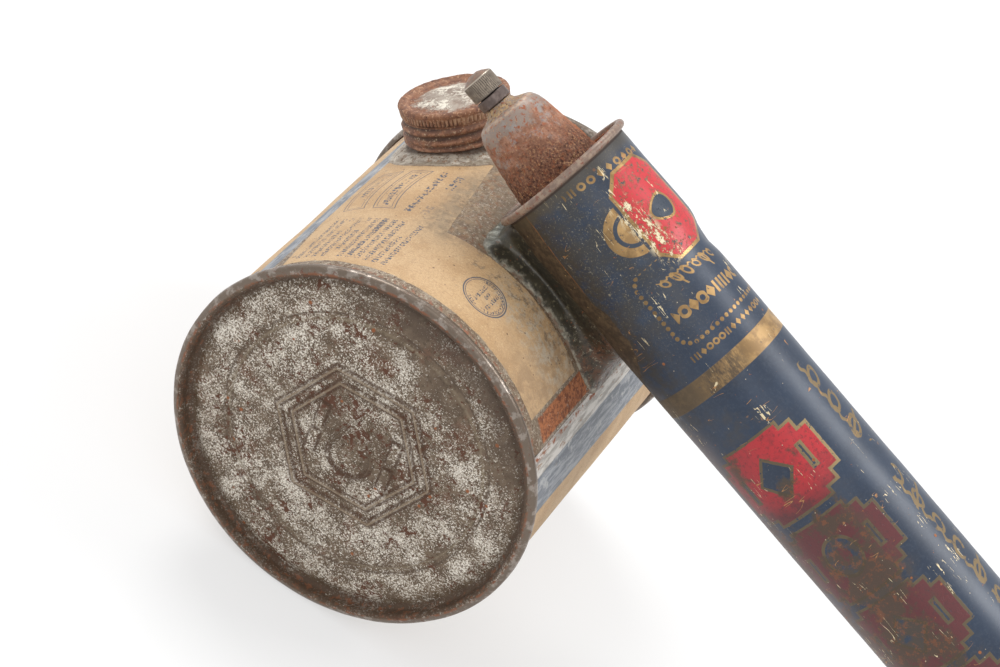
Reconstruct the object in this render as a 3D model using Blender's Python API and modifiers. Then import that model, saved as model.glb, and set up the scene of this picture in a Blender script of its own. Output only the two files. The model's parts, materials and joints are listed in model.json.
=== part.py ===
"""Hand-pump sprayer: a tin tank lying across a long pump barrel, with a screw nozzle and a wooden knob.

Design axes, which the empty called sprayer_axes carries: X runs along the barrel from nozzle to handle,
Y runs along the tank, Z runs from the tank's axis up to the barrel's axis. The origin is the tank's centre.
The empty tilts the design to its resting pose, on both tank rims and the handle, with the floor at Z = 0
and the middle of the whole length over the world's origin.
Lengths below are in millimetres and become metres through the MM factor.
"""

from math import cos, pi, radians, sin, sqrt

import bmesh
import bpy
from mathutils import Matrix, Vector

MM = 0.001
GAP = 0.3            # between neighbouring pieces
SHEET_GAP = 0.35     # under a piece that follows a curved sheet
LARGE, MEDIUM, SMALL = 44, 28, 16    # facets round the tank, the barrel and the small pieces
THREAD_STEPS = 36    # facets round the filler's screw thread

# Resting pose
REST_TILT = 19.06    # degrees the barrel slopes down towards the handle
REST_HEIGHT = 54.0   # tank's axis above the floor
REST_SHIFT = -147.7  # tank's axis from the middle of the whole length

# Tank: a quart can with double-seamed ends
TANK_R = 52.07
TANK_WALL = 0.4
TANK_HALF = 57.2     # centre to the outside of a seam
SEAM_R = 53.96
SEAM_HEIGHT = 3.2
SEAM_LEG = 0.6       # the seam's inner leg
PANEL_DEPTH = 4.2    # seam top to the end's outer panel
PANEL_RAISE = 0.6    # the middle of the panel stands this proud
PANEL_STEP_R = 37.5
PANEL_R = 47.0
WELL_DEPTH = 0.9     # the groove round the panel, inside the seam
END_SHEET = 0.45

# Filler, square to the tank's wall; its heights are measured from the tank's axis
FILLER_TILT = 54.6   # degrees from +Z towards the nozzle
FILLER_Y = 34.0
FILLER_HOLE_R = 13.0
NECK_R = 14.0
NECK_WALL = 0.6
NECK_TOP = 61.9
THREAD_PITCH = 3.0
THREAD_DEPTH = 0.8
THREAD_LOW, THREAD_HIGH = 54.6, 60.6
THREAD_ROWS = 10
CAP_CLEARANCE = 0.35
CAP_WALL = 0.5
CAP_RIM_R = 16.06
CAP_CURL_R = 16.5
CAP_TOP = 64.9
CAP_LOW = 53.1

# Pump barrel
BARREL_R = 19.3
BARREL_WALL = 0.5
BARREL_Y = -2.8
BARREL_Z = 71.9
BARREL_FRONT, BARREL_REAR = -20.0, 285.0
BEAD_R = 1.1
BORE_R = BARREL_R - BARREL_WALL

# Siphon tube, from the tank's bottom through the barrel's underside to the nozzle
SIPHON_X = -9.0
SIPHON_HOLE_R = 4.0
SIPHON_R = 2.0
SIPHON_WALL = 0.5
SIPHON_BEND = 7.0
SIPHON_LOW = -46.0
SIPHON_END = -43.0

# Saddle between tank and barrel
SADDLE_FRONT, SADDLE_REAR = -17.2, 33.0
SADDLE_FOOT_HALF, SADDLE_TOP_HALF = 16.6, 14.3
SADDLE_TOP_INSET = 3.5
SADDLE_WALL = 0.6
SADDLE_FLARE = 2.4   # power of the sweep from its top out to its foot
SADDLE_SQUARE = 6    # power of its rounded-square plan; 2 would be an ellipse

# Nozzle, in front of the barrel
SHEET = 0.5
CONE_BACK = -15.0
COLLAR_R, COLLAR_FRONT, COLLAR_BACK = 4.4, -46.9, -44.1
SPIGOT_R, SPIGOT_END = 3.0, -50.4
TIP_R, TIP_BORE_R = 4.55, 3.3
TIP_BACK, TIP_SHOULDER, TIP_FRONT = -47.2, -52.3, -54.2
ORIFICE_R = 0.5

# Check valve, in the front of the barrel and above its axis
VALVE_X = -3.2       # front face of the valve plate
VALVE_RISE = 9.5
BALL_R = 2.5
SEAT_R = 1.8
CAGE_R, CAGE_BORE_R, CAGE_FRONT = 3.4, 2.9, -10.3

# Plunger, drawn pushed fully in
ROD_R = 3.175
ROD_HOLE_R = ROD_R + 0.275
STUD_R = 2.4         # the rod's reduced front, through the cup
STUD_HOLE_R = STUD_R + GAP
CUP_R = BORE_R - GAP
CUP_FRONT, CUP_BACK, CUP_WALL = 0.9, 8.1, 1.8
ROD_COLLAR_FRONT, ROD_COLLAR_BACK, ROD_COLLAR_R = 10.2, 13.0, 5.5

# Rear cap and handle
CAP_END = 286.9
BOSS_R, BOSS_END = 8.0, 290.4
GUIDE_FRONT, GUIDE_BACK = 276.0, 283.5
KNOB_FRONT, KNOB_NECK_R, KNOB_NECK_END = 292.8, 7.8, 300.4
KNOB_CENTRE, KNOB_HALF = 325.0, 16.0
KNOB_END = KNOB_CENTRE + KNOB_HALF


def knob_radius():
    """The knob's widest radius, so that its lowest point rests on the floor."""
    slope = radians(REST_TILT)
    axis_height = REST_HEIGHT + BARREL_Z * cos(slope) - KNOB_CENTRE * sin(slope)
    return sqrt(axis_height ** 2 - (KNOB_HALF * sin(slope)) ** 2) / cos(slope) - 0.1


def start_scene():
    for old in list(bpy.data.objects):
        bpy.data.objects.remove(old)
    collections = {}
    for name in ("hand_sprayer", "cutters"):
        collections[name] = bpy.data.collections.new(name)
        bpy.context.scene.collection.children.link(collections[name])
    axes = bpy.data.objects.new("sprayer_axes", None)
    axes.rotation_euler = (0.0, radians(REST_TILT), 0.0)
    axes.location = (REST_SHIFT * MM, 0.0, REST_HEIGHT * MM)
    collections["hand_sprayer"].objects.link(axes)
    return collections, axes


COLLECTIONS, AXES = start_scene()
ALONG_BARREL = (0.0, pi / 2, 0.0)
UP_FILLER = (0.0, -radians(FILLER_TILT), 0.0)


def material(name, colour, roughness, metallic):
    made = bpy.data.materials.new(name)
    made.use_nodes = True
    shader = made.node_tree.nodes["Principled BSDF"]
    shader.inputs["Base Color"].default_value = (*colour, 1.0)
    shader.inputs["Roughness"].default_value = roughness
    shader.inputs["Metallic"].default_value = metallic
    return made


LITHO_TIN = material("litho_tin", (0.50, 0.42, 0.30), 0.55, 0.1)
NAVY_PAINT = material("navy_paint", (0.045, 0.06, 0.09), 0.45, 0.1)
RUSTY_TIN = material("rusty_tin", (0.33, 0.27, 0.22), 0.65, 0.5)
RUST = material("rust", (0.24, 0.12, 0.07), 0.85, 0.2)
SOLDERED_TIN = material("soldered_tin", (0.42, 0.40, 0.36), 0.5, 0.7)
DARK_BRASS = material("dark_brass", (0.25, 0.21, 0.16), 0.5, 0.8)
STEEL = material("steel", (0.48, 0.47, 0.45), 0.4, 0.9)
CORK = material("cork", (0.45, 0.30, 0.17), 0.9, 0.0)
LEATHER = material("leather", (0.22, 0.12, 0.06), 0.7, 0.0)
FELT = material("felt", (0.32, 0.30, 0.27), 0.95, 0.0)
WOOD = material("wood", (0.42, 0.27, 0.14), 0.55, 0.0)


def place(made, origin, rotation, finish=None):
    """Puts an object at a design position, in millimetres. One with no finish is a cutter."""
    made.parent = AXES
    made.location = Vector(origin) * MM
    made.rotation_euler = rotation
    if finish:
        COLLECTIONS["hand_sprayer"].objects.link(made)
        made.data.materials.append(finish)
    else:
        COLLECTIONS["cutters"].objects.link(made)
        made.hide_render = True
        made.display_type = "WIRE"
    return made


def on_barrel(made, finish=None, rise=0.0):
    """Puts a turned piece on the barrel's axis, its own Z running from nozzle to handle."""
    return place(made, (0.0, BARREL_Y, BARREL_Z + rise), ALONG_BARREL, finish)


def shade(mesh):
    mesh.shade_smooth()
    mesh.set_sharp_from_angle(angle=radians(35.0))


def arc(centre_r, centre_z, radius, first, last, count):
    """Points on a circle in the (radius, height) plane; angles in degrees from the outward direction."""
    angles = [radians(first + (last - first) * i / (count - 1)) for i in range(count)]
    return [(centre_r + radius * cos(a), centre_z + radius * sin(a)) for a in angles]


def turned(name, outline, steps, hollow=True):
    """An outline of (radius, height) points swept round the object's own Z. It runs down its outer side.
    A hollow one is a closed outline; any other starts and ends on the axis."""
    points = [(r * MM, 0.0, z * MM) for r, z in outline]
    edges = [(i, i + 1) for i in range(len(points) - 1)]
    if hollow:
        edges.append((len(points) - 1, 0))
    mesh = bpy.data.meshes.new(name)
    mesh.from_pydata(points, edges, [])
    made = bpy.data.objects.new(name, mesh)
    sweep = made.modifiers.new("turn", "SCREW")
    sweep.steps = steps
    sweep.render_steps = steps
    sweep.use_merge_vertices = True
    sweep.merge_threshold = 0.00001
    return made


def washer(outer, inner, back, front):
    """The outline of a flat ring."""
    return [(outer, back), (outer, front), (inner, front), (inner, back)]


def cylinder(name, radius, low, high, steps):
    """A closed cylinder between two heights on the object's own Z."""
    bm = bmesh.new()
    middle = Matrix.Translation((0.0, 0.0, (low + high) / 2 * MM))
    bmesh.ops.create_cone(
        bm, cap_ends=True, segments=steps, radius1=radius * MM, radius2=radius * MM,
        depth=(high - low) * MM, matrix=middle,
    )
    mesh = bpy.data.meshes.new(name)
    bm.to_mesh(mesh)
    bm.free()
    return bpy.data.objects.new(name, mesh)


def cut(made, tool):
    step = made.modifiers.new("cut", "BOOLEAN")
    step.operation = "DIFFERENCE"
    step.solver = "EXACT"
    step.object = tool


def loft_round(name, section_at, count, capped=False):
    """A solid from sections spaced round the object's own Z, each a list of points in millimetres.
    A capped section starts and ends on the axis; any other is a closed loop."""
    bm = bmesh.new()
    rings = [section_at(2 * pi * i / count) for i in range(count)]
    if capped:
        top = bm.verts.new(Vector(rings[0][0]) * MM)
        bottom = bm.verts.new(Vector(rings[0][-1]) * MM)
        rings = [ring[1:-1] for ring in rings]
    rows = [[bm.verts.new(Vector(p) * MM) for p in ring] for ring in rings]
    size = len(rows[0])
    for here, there in zip(rows, rows[1:] + rows[:1]):
        for i in range(size - 1 if capped else size):
            j = (i + 1) % size
            bm.faces.new((here[i], here[j], there[j], there[i]))
        if capped:
            bm.faces.new((top, here[0], there[0]))
            bm.faces.new((here[-1], bottom, there[-1]))
    bmesh.ops.recalc_face_normals(bm, faces=bm.faces)
    mesh = bpy.data.meshes.new(name)
    bm.to_mesh(mesh)
    bm.free()
    shade(mesh)
    return bpy.data.objects.new(name, mesh)


# ---- Tank ----

def make_tank_body():
    half = TANK_HALF - 1.0
    inner = TANK_R - TANK_WALL
    body = place(
        turned("tank_body", washer(TANK_R, inner, half, -half), LARGE),
        (0, 0, 0), (-pi / 2, 0.0, 0.0), LITHO_TIN,
    )
    filler = cylinder("filler_hole", FILLER_HOLE_R, TANK_R - 12, TANK_R + 12, THREAD_STEPS)
    cut(body, place(filler, (0, FILLER_Y, 0), UP_FILLER))
    siphon = cylinder("siphon_hole_in_tank", SIPHON_HOLE_R, TANK_R - 8, TANK_R + 8, SMALL)
    cut(body, place(siphon, (SIPHON_X, BARREL_Y, 0), (0, 0, 0)))


def end_outline():
    """An end with its double seam: raised panel, countersink, inner leg, seam top, outer leg and back."""
    panel = TANK_HALF - PANEL_DEPTH
    raised = panel + PANEL_RAISE
    well = panel - WELL_DEPTH
    leg_out = TANK_R - TANK_WALL - GAP
    leg_in = leg_out - SEAM_LEG
    return [
        (0.0, raised), (PANEL_STEP_R, raised), (PANEL_STEP_R + 1.4, panel), (PANEL_R, panel),
        (PANEL_R + 1.3, well), (leg_in - 1.0, well), (leg_in - 0.1, panel + 0.4),
        (leg_in, TANK_HALF - 0.5), (leg_in + 0.5, TANK_HALF), (SEAM_R - 0.6, TANK_HALF),
        (SEAM_R, TANK_HALF - 0.6), (SEAM_R, TANK_HALF - SEAM_HEIGHT + 0.5),
        (SEAM_R - 0.6, TANK_HALF - SEAM_HEIGHT), (TANK_R + GAP, TANK_HALF - SEAM_HEIGHT),
        (TANK_R + GAP, TANK_HALF - 0.6), (leg_out, TANK_HALF - 0.6), (leg_out, panel),
        (leg_out - 1.2, well - END_SHEET), (PANEL_R + 0.9, well - END_SHEET),
        (PANEL_R - 0.5, panel - END_SHEET),
        (PANEL_STEP_R + 1.0, panel - END_SHEET), (PANEL_STEP_R - 0.4, raised - END_SHEET),
        (0.0, raised - END_SHEET),
    ]


def make_tank_ends():
    """Left and right as seen from behind the nozzle."""
    for name, turn in (("tank_end_left", pi / 2), ("tank_end_right", -pi / 2)):
        end = turned(name, end_outline(), LARGE, hollow=False)
        place(end, (0, 0, 0), (turn, 0.0, 0.0), RUSTY_TIN)


# ---- Filler ----

def thread_bulge(height, angle):
    """How far the screw thread stands out at a height and an angle, from 0 at a root to 1 at a crest."""
    turns = (height - THREAD_LOW) / THREAD_PITCH - angle / (2 * pi)
    return 0.5 - 0.5 * cos(2 * pi * turns)


def fade(height):
    """1 along the thread and 0 past its ends."""
    reach = 0.8
    inside = min(height - THREAD_LOW, THREAD_HIGH - height) / reach
    return max(0.0, min(1.0, inside))


def thread_heights():
    rise = (THREAD_HIGH - THREAD_LOW) / THREAD_ROWS
    return [THREAD_LOW + rise * i for i in range(THREAD_ROWS + 1)]


def around(profile, angle):
    """Turns (radius, height) points to an angle round Z."""
    return [(r * cos(angle), r * sin(angle), z) for r, z in profile]


def neck_section(angle):
    thread = [
        (NECK_R + THREAD_DEPTH * thread_bulge(z, angle) * fade(z), z) for z in thread_heights()
    ]
    inner = NECK_R - NECK_WALL
    foot = [(NECK_R + 1.6, 50.6), (NECK_R + 4.0, 48.0), (NECK_R + 3.0, 46.5), (inner, 46.5)]
    rim = [(inner, NECK_TOP), (NECK_R - 0.2, NECK_TOP), (NECK_R, NECK_TOP - 0.3)]
    return around(rim + thread[::-1] + foot, angle)


def cap_section(angle):
    """The cap's thread is the neck's own, grown by a clearance; past its ends it opens to the crest."""
    root = NECK_R + CAP_CLEARANCE
    inner = [
        (root + THREAD_DEPTH * (1 - fade(z) * (1 - thread_bulge(z, angle))), z) for z in thread_heights()
    ]
    outer = [(r + CAP_WALL, z) for r, z in inner]
    crest = root + THREAD_DEPTH
    under_top = CAP_TOP - 1.4
    outside = [
        (0.0, CAP_TOP - 0.5), (12.0, CAP_TOP - 0.6), (13.6, CAP_TOP), (15.2, CAP_TOP),
        (CAP_RIM_R, CAP_TOP - 0.8), (CAP_RIM_R, THREAD_HIGH + 0.5),
    ]
    curl = [(CAP_CURL_R, CAP_LOW + 0.8), (CAP_CURL_R, CAP_LOW + 0.2), (CAP_CURL_R - 0.5, CAP_LOW)]
    inside = [(crest, CAP_LOW + 0.2)]
    roof = [(crest, under_top - 0.4), (crest - 0.5, under_top), (0.0, under_top)]
    return around(outside + outer[::-1] + curl + inside + inner + roof, angle)


def make_filler():
    origin = (0, FILLER_Y, 0)
    neck = place(loft_round("filler_neck", neck_section, THREAD_STEPS), origin, UP_FILLER, SOLDERED_TIN)
    tank = cylinder("tank_outside", TANK_R + SHEET_GAP, -30, 30, 2 * LARGE)
    cut(neck, place(tank, (0, FILLER_Y, 0), (pi / 2, 0.0, 0.0)))
    place(loft_round("filler_cap", cap_section, THREAD_STEPS, capped=True), origin, UP_FILLER, RUST)
    gasket = washer(NECK_R, 4.0, CAP_TOP - 1.4 - GAP, NECK_TOP + GAP)
    place(turned("cap_gasket", gasket, MEDIUM), origin, UP_FILLER, CORK)


# ---- Saddle ----

def tank_top(x):
    return sqrt((TANK_R + SHEET_GAP) ** 2 - x ** 2)


def barrel_underside(y):
    return BARREL_Z - sqrt((BARREL_R + SHEET_GAP) ** 2 - (y - BARREL_Y) ** 2)


def saddle_point(angle, rise, inset):
    """A point on the saddle's wall: angle round its rounded-square plan, rise 0 at the tank to 1 at the
    barrel, inset 0 on its outer face."""
    middle = (SADDLE_FRONT + SADDLE_REAR) / 2
    spread = (1 - rise) ** SADDLE_FLARE
    half_x = (SADDLE_REAR - SADDLE_FRONT) / 2 - SADDLE_TOP_INSET * (1 - spread) * (cos(angle) > 0)
    half_y = SADDLE_TOP_HALF + (SADDLE_FOOT_HALF - SADDLE_TOP_HALF) * spread
    corner = (abs(cos(angle)) ** SADDLE_SQUARE + abs(sin(angle)) ** SADDLE_SQUARE) ** (-1 / SADDLE_SQUARE)
    x = middle + (half_x - inset) * corner * cos(angle)
    y = BARREL_Y + (half_y - inset) * corner * sin(angle)
    z = tank_top(x) + rise * (barrel_underside(y) - tank_top(x))
    return x, y, z


def saddle_section(angle):
    rises = [0.0, 0.12, 0.3, 0.6, 1.0]
    outer = [saddle_point(angle, rise, 0.0) for rise in rises]
    inner = [saddle_point(angle, rise, SADDLE_WALL) for rise in rises]
    return outer[::-1] + inner


def make_saddle():
    place(loft_round("pump_saddle", saddle_section, LARGE), (0, 0, 0), (0, 0, 0), SOLDERED_TIN)


# ---- Barrel and its rear cap ----

def make_barrel():
    bead_x = BARREL_FRONT + BEAD_R
    bead = arc(BARREL_R + BEAD_R - 0.3, bead_x, BEAD_R, 130, -170, 9)
    outline = [(BARREL_R, BARREL_REAR)] + bead + [(BORE_R, bead_x + 0.2), (BORE_R, BARREL_REAR)]
    barrel = on_barrel(turned("pump_barrel", outline, MEDIUM), NAVY_PAINT)
    hole = cylinder("siphon_hole_in_barrel", SIPHON_HOLE_R, TANK_R - 10, BARREL_Z - 8, SMALL)
    cut(barrel, place(hole, (SIPHON_X, BARREL_Y, 0), (0, 0, 0)))


def make_rear_cap():
    skirt = BARREL_R + GAP
    outer = skirt + SHEET
    front = BARREL_REAR - 16
    bore = BOSS_R - SHEET
    inside = CAP_END - SHEET
    outline = [
        (ROD_HOLE_R, BOSS_END), (BOSS_R - 0.8, BOSS_END), (BOSS_R, BOSS_END - 0.8), (BOSS_R + 0.6, CAP_END),
        (outer - 0.9, CAP_END), (outer, CAP_END - 0.9), (outer, front + 1.6), (outer + 0.7, front + 0.9),
        (outer + 0.5, front), (skirt, front), (skirt, inside - 0.5), (skirt - 0.6, inside),
        (bore + 0.3, inside), (bore, BOSS_END - 0.9), (ROD_HOLE_R, BOSS_END - 0.7),
    ]
    on_barrel(turned("barrel_cap", outline, MEDIUM), NAVY_PAINT)
    guide = washer(BORE_R - GAP, ROD_HOLE_R, GUIDE_BACK, GUIDE_FRONT)
    on_barrel(turned("rod_guide", guide, MEDIUM), WOOD)
    felt = washer(bore - 0.6, ROD_HOLE_R, BOSS_END - 1.3, GUIDE_BACK + GAP)
    on_barrel(turned("oil_felt", felt, SMALL), FELT)


# ---- Nozzle ----

def make_nozzle_cone():
    """A stamped cup pressed into the barrel's mouth and drawn out to a neck."""
    wall = BORE_R - GAP
    outside = [
        (13.7, CONE_BACK - SHEET), (12.6, -21.0), (11.0, -32.2), (10.4, -35.3), (9.6, -38.9),
        (8.8, -40.3), (7.6, -41.1), (5.6, -41.6), (4.4, -42.3), (4.0, -43.1), (4.0, -43.8),
    ]
    inside = [(r - SHEET, x + 0.25) for r, x in outside[:0:-1]]
    outline = [(wall, CONE_BACK), (wall, -19.4), (wall - SHEET, -19.4), (wall - SHEET, CONE_BACK - SHEET)]
    outline += outside + inside + [(13.1, CONE_BACK)]
    on_barrel(turned("nozzle_cone", outline, MEDIUM), RUST)


def make_nozzle():
    neck = 3.5 - GAP
    chamber = 2.5
    jet_bore = 1.9
    body = [
        (neck, -40.0), (neck, COLLAR_BACK), (COLLAR_R, COLLAR_BACK), (COLLAR_R, COLLAR_FRONT),
        (SPIGOT_R, COLLAR_FRONT), (SPIGOT_R, SPIGOT_END), (jet_bore, SPIGOT_END),
        (jet_bore, -47.6), (chamber, -47.6), (chamber, -40.0),
    ]
    on_barrel(turned("nozzle_body", body, SMALL), DARK_BRASS)
    jet = [
        (chamber - GAP, -46.2), (chamber - GAP, -47.3), (jet_bore - GAP, -47.3), (jet_bore - GAP, -50.0),
        (0.45, -50.0), (0.45, -47.0), (1.2, -46.2),
    ]
    on_barrel(turned("nozzle_jet", jet, SMALL), DARK_BRASS)
    packing = washer(SPIGOT_R, 1.2, SPIGOT_END - 0.25, SPIGOT_END - 0.85)
    on_barrel(turned("nozzle_packing", packing, SMALL), LEATHER)
    seat = SPIGOT_END - 1.1
    tip = [
        (TIP_R, TIP_BACK), (TIP_R, TIP_SHOULDER), (TIP_R - 0.9, TIP_SHOULDER - 1.0),
        (TIP_R - 2.4, TIP_FRONT + 0.2), (ORIFICE_R, TIP_FRONT), (ORIFICE_R, seat),
        (TIP_BORE_R, seat), (TIP_BORE_R, TIP_BACK),
    ]
    on_barrel(turned("nozzle_tip", tip, SMALL), DARK_BRASS)


# ---- Siphon and check valve ----

def make_siphon_tube():
    """A bent tube: a curve gives its outside, and Solidify its bore."""
    steps = [radians(90 * i / 5) for i in range(6)]
    bend_x, bend_z = SIPHON_X - SIPHON_BEND, BARREL_Z - SIPHON_BEND
    path = [(SIPHON_X, BARREL_Y, SIPHON_LOW)]
    path += [(bend_x + SIPHON_BEND * cos(a), BARREL_Y, bend_z + SIPHON_BEND * sin(a)) for a in steps]
    path += [(SIPHON_END, BARREL_Y, BARREL_Z)]
    curve = bpy.data.curves.new("siphon_path", "CURVE")
    curve.dimensions = "3D"
    curve.bevel_depth = SIPHON_R * MM
    curve.bevel_resolution = 2
    line = curve.splines.new("POLY")
    line.points.add(len(path) - 1)
    for point, place_mm in zip(line.points, path):
        point.co = (*(Vector(place_mm) * MM), 1.0)
    drawn = bpy.data.objects.new("siphon_path", curve)
    COLLECTIONS["cutters"].objects.link(drawn)
    graph = bpy.context.evaluated_depsgraph_get()
    mesh = bpy.data.meshes.new_from_object(drawn.evaluated_get(graph))
    bpy.data.objects.remove(drawn)
    mesh.name = "siphon_tube"
    tube = place(bpy.data.objects.new("siphon_tube", mesh), (0, 0, 0), (0, 0, 0), STEEL)
    wall = tube.modifiers.new("wall", "SOLIDIFY")
    wall.thickness = SIPHON_WALL * MM
    wall.offset = -1.0


def make_valve():
    rim = BORE_R - GAP
    back = VALVE_X + 0.6
    lip = VALVE_X - 1.6
    disc = [
        (0.0, back), (rim, back), (rim, lip), (rim - SHEET, lip), (rim - SHEET, VALVE_X), (0.0, VALVE_X),
    ]
    plate = on_barrel(turned("valve_plate", disc, MEDIUM, hollow=False), STEEL)
    seat = cylinder("valve_seat", SEAT_R, VALVE_X - 3, VALVE_X + 3, SMALL)
    cut(plate, on_barrel(seat, rise=VALVE_RISE))
    flange = 4.6
    foot = VALVE_X - GAP
    cage = [
        (flange, foot), (flange, foot - SHEET), (CAGE_R, foot - SHEET), (CAGE_R, CAGE_FRONT),
        (1.2, CAGE_FRONT), (1.2, CAGE_FRONT + SHEET), (CAGE_BORE_R, CAGE_FRONT + SHEET), (CAGE_BORE_R, foot),
    ]
    made = on_barrel(turned("valve_cage", cage, SMALL), DARK_BRASS, rise=VALVE_RISE)
    for side in (0, 1):
        slot = cylinder(f"cage_slot_{side}", 1.1, -6, 6, SMALL)
        turn = (pi / 2 * side, 0.0, 0.0)
        cut(made, place(slot, (-6.6, BARREL_Y, BARREL_Z + VALVE_RISE), turn))
    lift = sqrt(BALL_R ** 2 - SEAT_R ** 2) + 0.2
    bm = bmesh.new()
    bmesh.ops.create_uvsphere(bm, u_segments=16, v_segments=8, radius=BALL_R * MM)
    mesh = bpy.data.meshes.new("valve_ball")
    bm.to_mesh(mesh)
    bm.free()
    shade(mesh)
    ball = bpy.data.objects.new("valve_ball", mesh)
    place(ball, (VALVE_X - lift, BARREL_Y, BARREL_Z + VALVE_RISE), ALONG_BARREL, STEEL)


# ---- Plunger ----

def make_plunger():
    head = KNOB_END + 1.4
    rod = [
        (0.0, head + 1.6), (2.6, head + 1.4), (4.4, head + 0.5), (4.4, head), (ROD_R, head),
        (ROD_R, ROD_COLLAR_BACK), (ROD_COLLAR_R, ROD_COLLAR_BACK), (ROD_COLLAR_R, ROD_COLLAR_FRONT),
        (STUD_R, ROD_COLLAR_FRONT), (STUD_R, 0.7), (STUD_R - 0.4, 0.3), (0.0, 0.3),
    ]
    on_barrel(turned("plunger_rod", rod, SMALL, hollow=False), STEEL)
    base = CUP_BACK - 2.2
    lip = CUP_R - CUP_WALL
    cup = [
        (CUP_R - 1.6, CUP_BACK), (CUP_R - 0.4, CUP_BACK - 1.2), (CUP_R, CUP_BACK - 2.6), (CUP_R, CUP_FRONT),
        (CUP_R - 0.8, CUP_FRONT), (lip, CUP_FRONT + 1.8), (lip, base - 0.8), (lip - 0.8, base),
        (STUD_HOLE_R, base), (STUD_HOLE_R, CUP_BACK),
    ]
    on_barrel(turned("plunger_cup", cup, MEDIUM), LEATHER)
    front = base - GAP
    on_barrel(turned("cup_front_washer", washer(12.0, STUD_HOLE_R, front, front - 1.0), SMALL), STEEL)
    back = ROD_COLLAR_FRONT - GAP
    on_barrel(turned("cup_back_washer", washer(15.0, STUD_HOLE_R, back, CUP_BACK + GAP), MEDIUM), STEEL)
    nut = on_barrel(cylinder("plunger_nut", 4.6, 1.0, front - 1.0 - GAP, 6), STEEL)
    hole = cylinder("nut_hole", STUD_HOLE_R, -2, 9, SMALL)
    cut(nut, on_barrel(hole))


def knob_outline():
    """A turned knob: a neck for the ferrule, a hollow sweep, then a round bulb."""
    widest = knob_radius()
    flat = 0.36      # share of the bulb's radius where its end is faced off
    sweep = 6
    blend = [i / sweep for i in range(1, sweep)]
    neck_rise = widest - KNOB_NECK_R - 1.2
    swell = [
        (KNOB_NECK_R + 1.2 + neck_rise * (0.5 - 0.5 * cos(pi * t)),
         KNOB_NECK_END + (KNOB_CENTRE - KNOB_NECK_END) * t) for t in blend
    ]
    bulb = [radians(10 * i) for i in range(0, 8)]
    dome = [(widest * cos(a), KNOB_CENTRE + KNOB_HALF * sin(a)) for a in bulb]
    end = [(ROD_HOLE_R, KNOB_END), (widest * flat, KNOB_END)]
    neck = [(KNOB_NECK_R + 1.2, KNOB_NECK_END), (KNOB_NECK_R, KNOB_NECK_END)]
    foot = [(KNOB_NECK_R, KNOB_FRONT), (ROD_HOLE_R, KNOB_FRONT)]
    return end + dome[::-1] + swell[::-1] + neck + foot


def make_handle():
    on_barrel(turned("handle_knob", knob_outline(), MEDIUM), WOOD)
    inner = KNOB_NECK_R + GAP
    ferrule = [
        (inner + 0.5, KNOB_NECK_END - GAP), (inner + 0.5, KNOB_FRONT + 1.6), (inner + 0.9, KNOB_FRONT + 0.9),
        (inner + 0.5, KNOB_FRONT + 0.1), (inner, KNOB_FRONT + 0.1), (inner, KNOB_NECK_END - GAP),
    ]
    on_barrel(turned("handle_ferrule", ferrule, MEDIUM), RUSTY_TIN)
    rivet = washer(6.5, ROD_HOLE_R, KNOB_END + 1.1, KNOB_END + GAP)
    on_barrel(turned("handle_washer", rivet, SMALL), STEEL)


make_tank_body()
make_tank_ends()
make_filler()
make_saddle()
make_barrel()
make_rear_cap()
make_nozzle_cone()
make_nozzle()
make_siphon_tube()
make_valve()
make_plunger()
make_handle()
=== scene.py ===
"""Looks of the hand-pump sprayer: a rusty litho-printed tank under a navy pump barrel, on a pale floor.

Every visible piece is built here in mesh code on the CAD's own axes and gets a node-based finish.
Lengths are in millimetres in the design axes: X along the barrel from nozzle to handle, Y along the tank,
Z from the tank's axis to the barrel's. Angles on the tank are measured from +Z towards the nozzle, and on the
barrel from +Z towards -Y. In the finishes, u is the way round the tank and v the way round the barrel.
"""

import json
from math import atan2, ceil, cos, degrees, hypot, pi, radians, sin, sqrt

import bmesh
import bpy
import numpy as np
from mathutils import Matrix, Vector


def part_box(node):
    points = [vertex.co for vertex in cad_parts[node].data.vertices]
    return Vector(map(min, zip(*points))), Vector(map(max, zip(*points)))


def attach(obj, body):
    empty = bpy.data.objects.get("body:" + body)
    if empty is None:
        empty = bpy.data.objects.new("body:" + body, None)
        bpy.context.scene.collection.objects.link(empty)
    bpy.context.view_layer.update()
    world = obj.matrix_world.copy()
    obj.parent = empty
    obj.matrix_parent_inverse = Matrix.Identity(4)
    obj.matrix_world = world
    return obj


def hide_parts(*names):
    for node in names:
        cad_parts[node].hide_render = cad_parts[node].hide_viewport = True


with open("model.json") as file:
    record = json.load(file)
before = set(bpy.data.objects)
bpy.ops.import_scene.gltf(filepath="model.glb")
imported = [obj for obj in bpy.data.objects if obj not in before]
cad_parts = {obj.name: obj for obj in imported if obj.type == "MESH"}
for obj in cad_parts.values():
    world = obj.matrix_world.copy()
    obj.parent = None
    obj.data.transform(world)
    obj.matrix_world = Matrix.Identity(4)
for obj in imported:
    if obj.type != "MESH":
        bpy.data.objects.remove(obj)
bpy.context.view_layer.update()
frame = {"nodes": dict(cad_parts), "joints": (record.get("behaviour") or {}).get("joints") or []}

MM = 0.001
BODY = "sprayer_can"

# The device stamped in the tank's end
DEVICE_TURN = 24.0    # degrees
HEXAGONS = (20.5, 16.5)    # from middle to flat
BAR_ACROSS, BAR_UP = 11.2, 4.6
DROP_DOWN, DROP_R = 3.5, 6.5

# Along the barrel, in the nozzle tip and its spigot
TIP_FRONT, KNURL_FRONT, KNURL_BACK = -54.0, -52.1, -47.5
SPIGOT_BACK, SHOULDER = -44.0, -40.9


# ---------------------------------------------------------------- places and sizes, read from the frame

def joint(name):
    return next(j for j in frame["joints"] if j["name"] == name)


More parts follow.
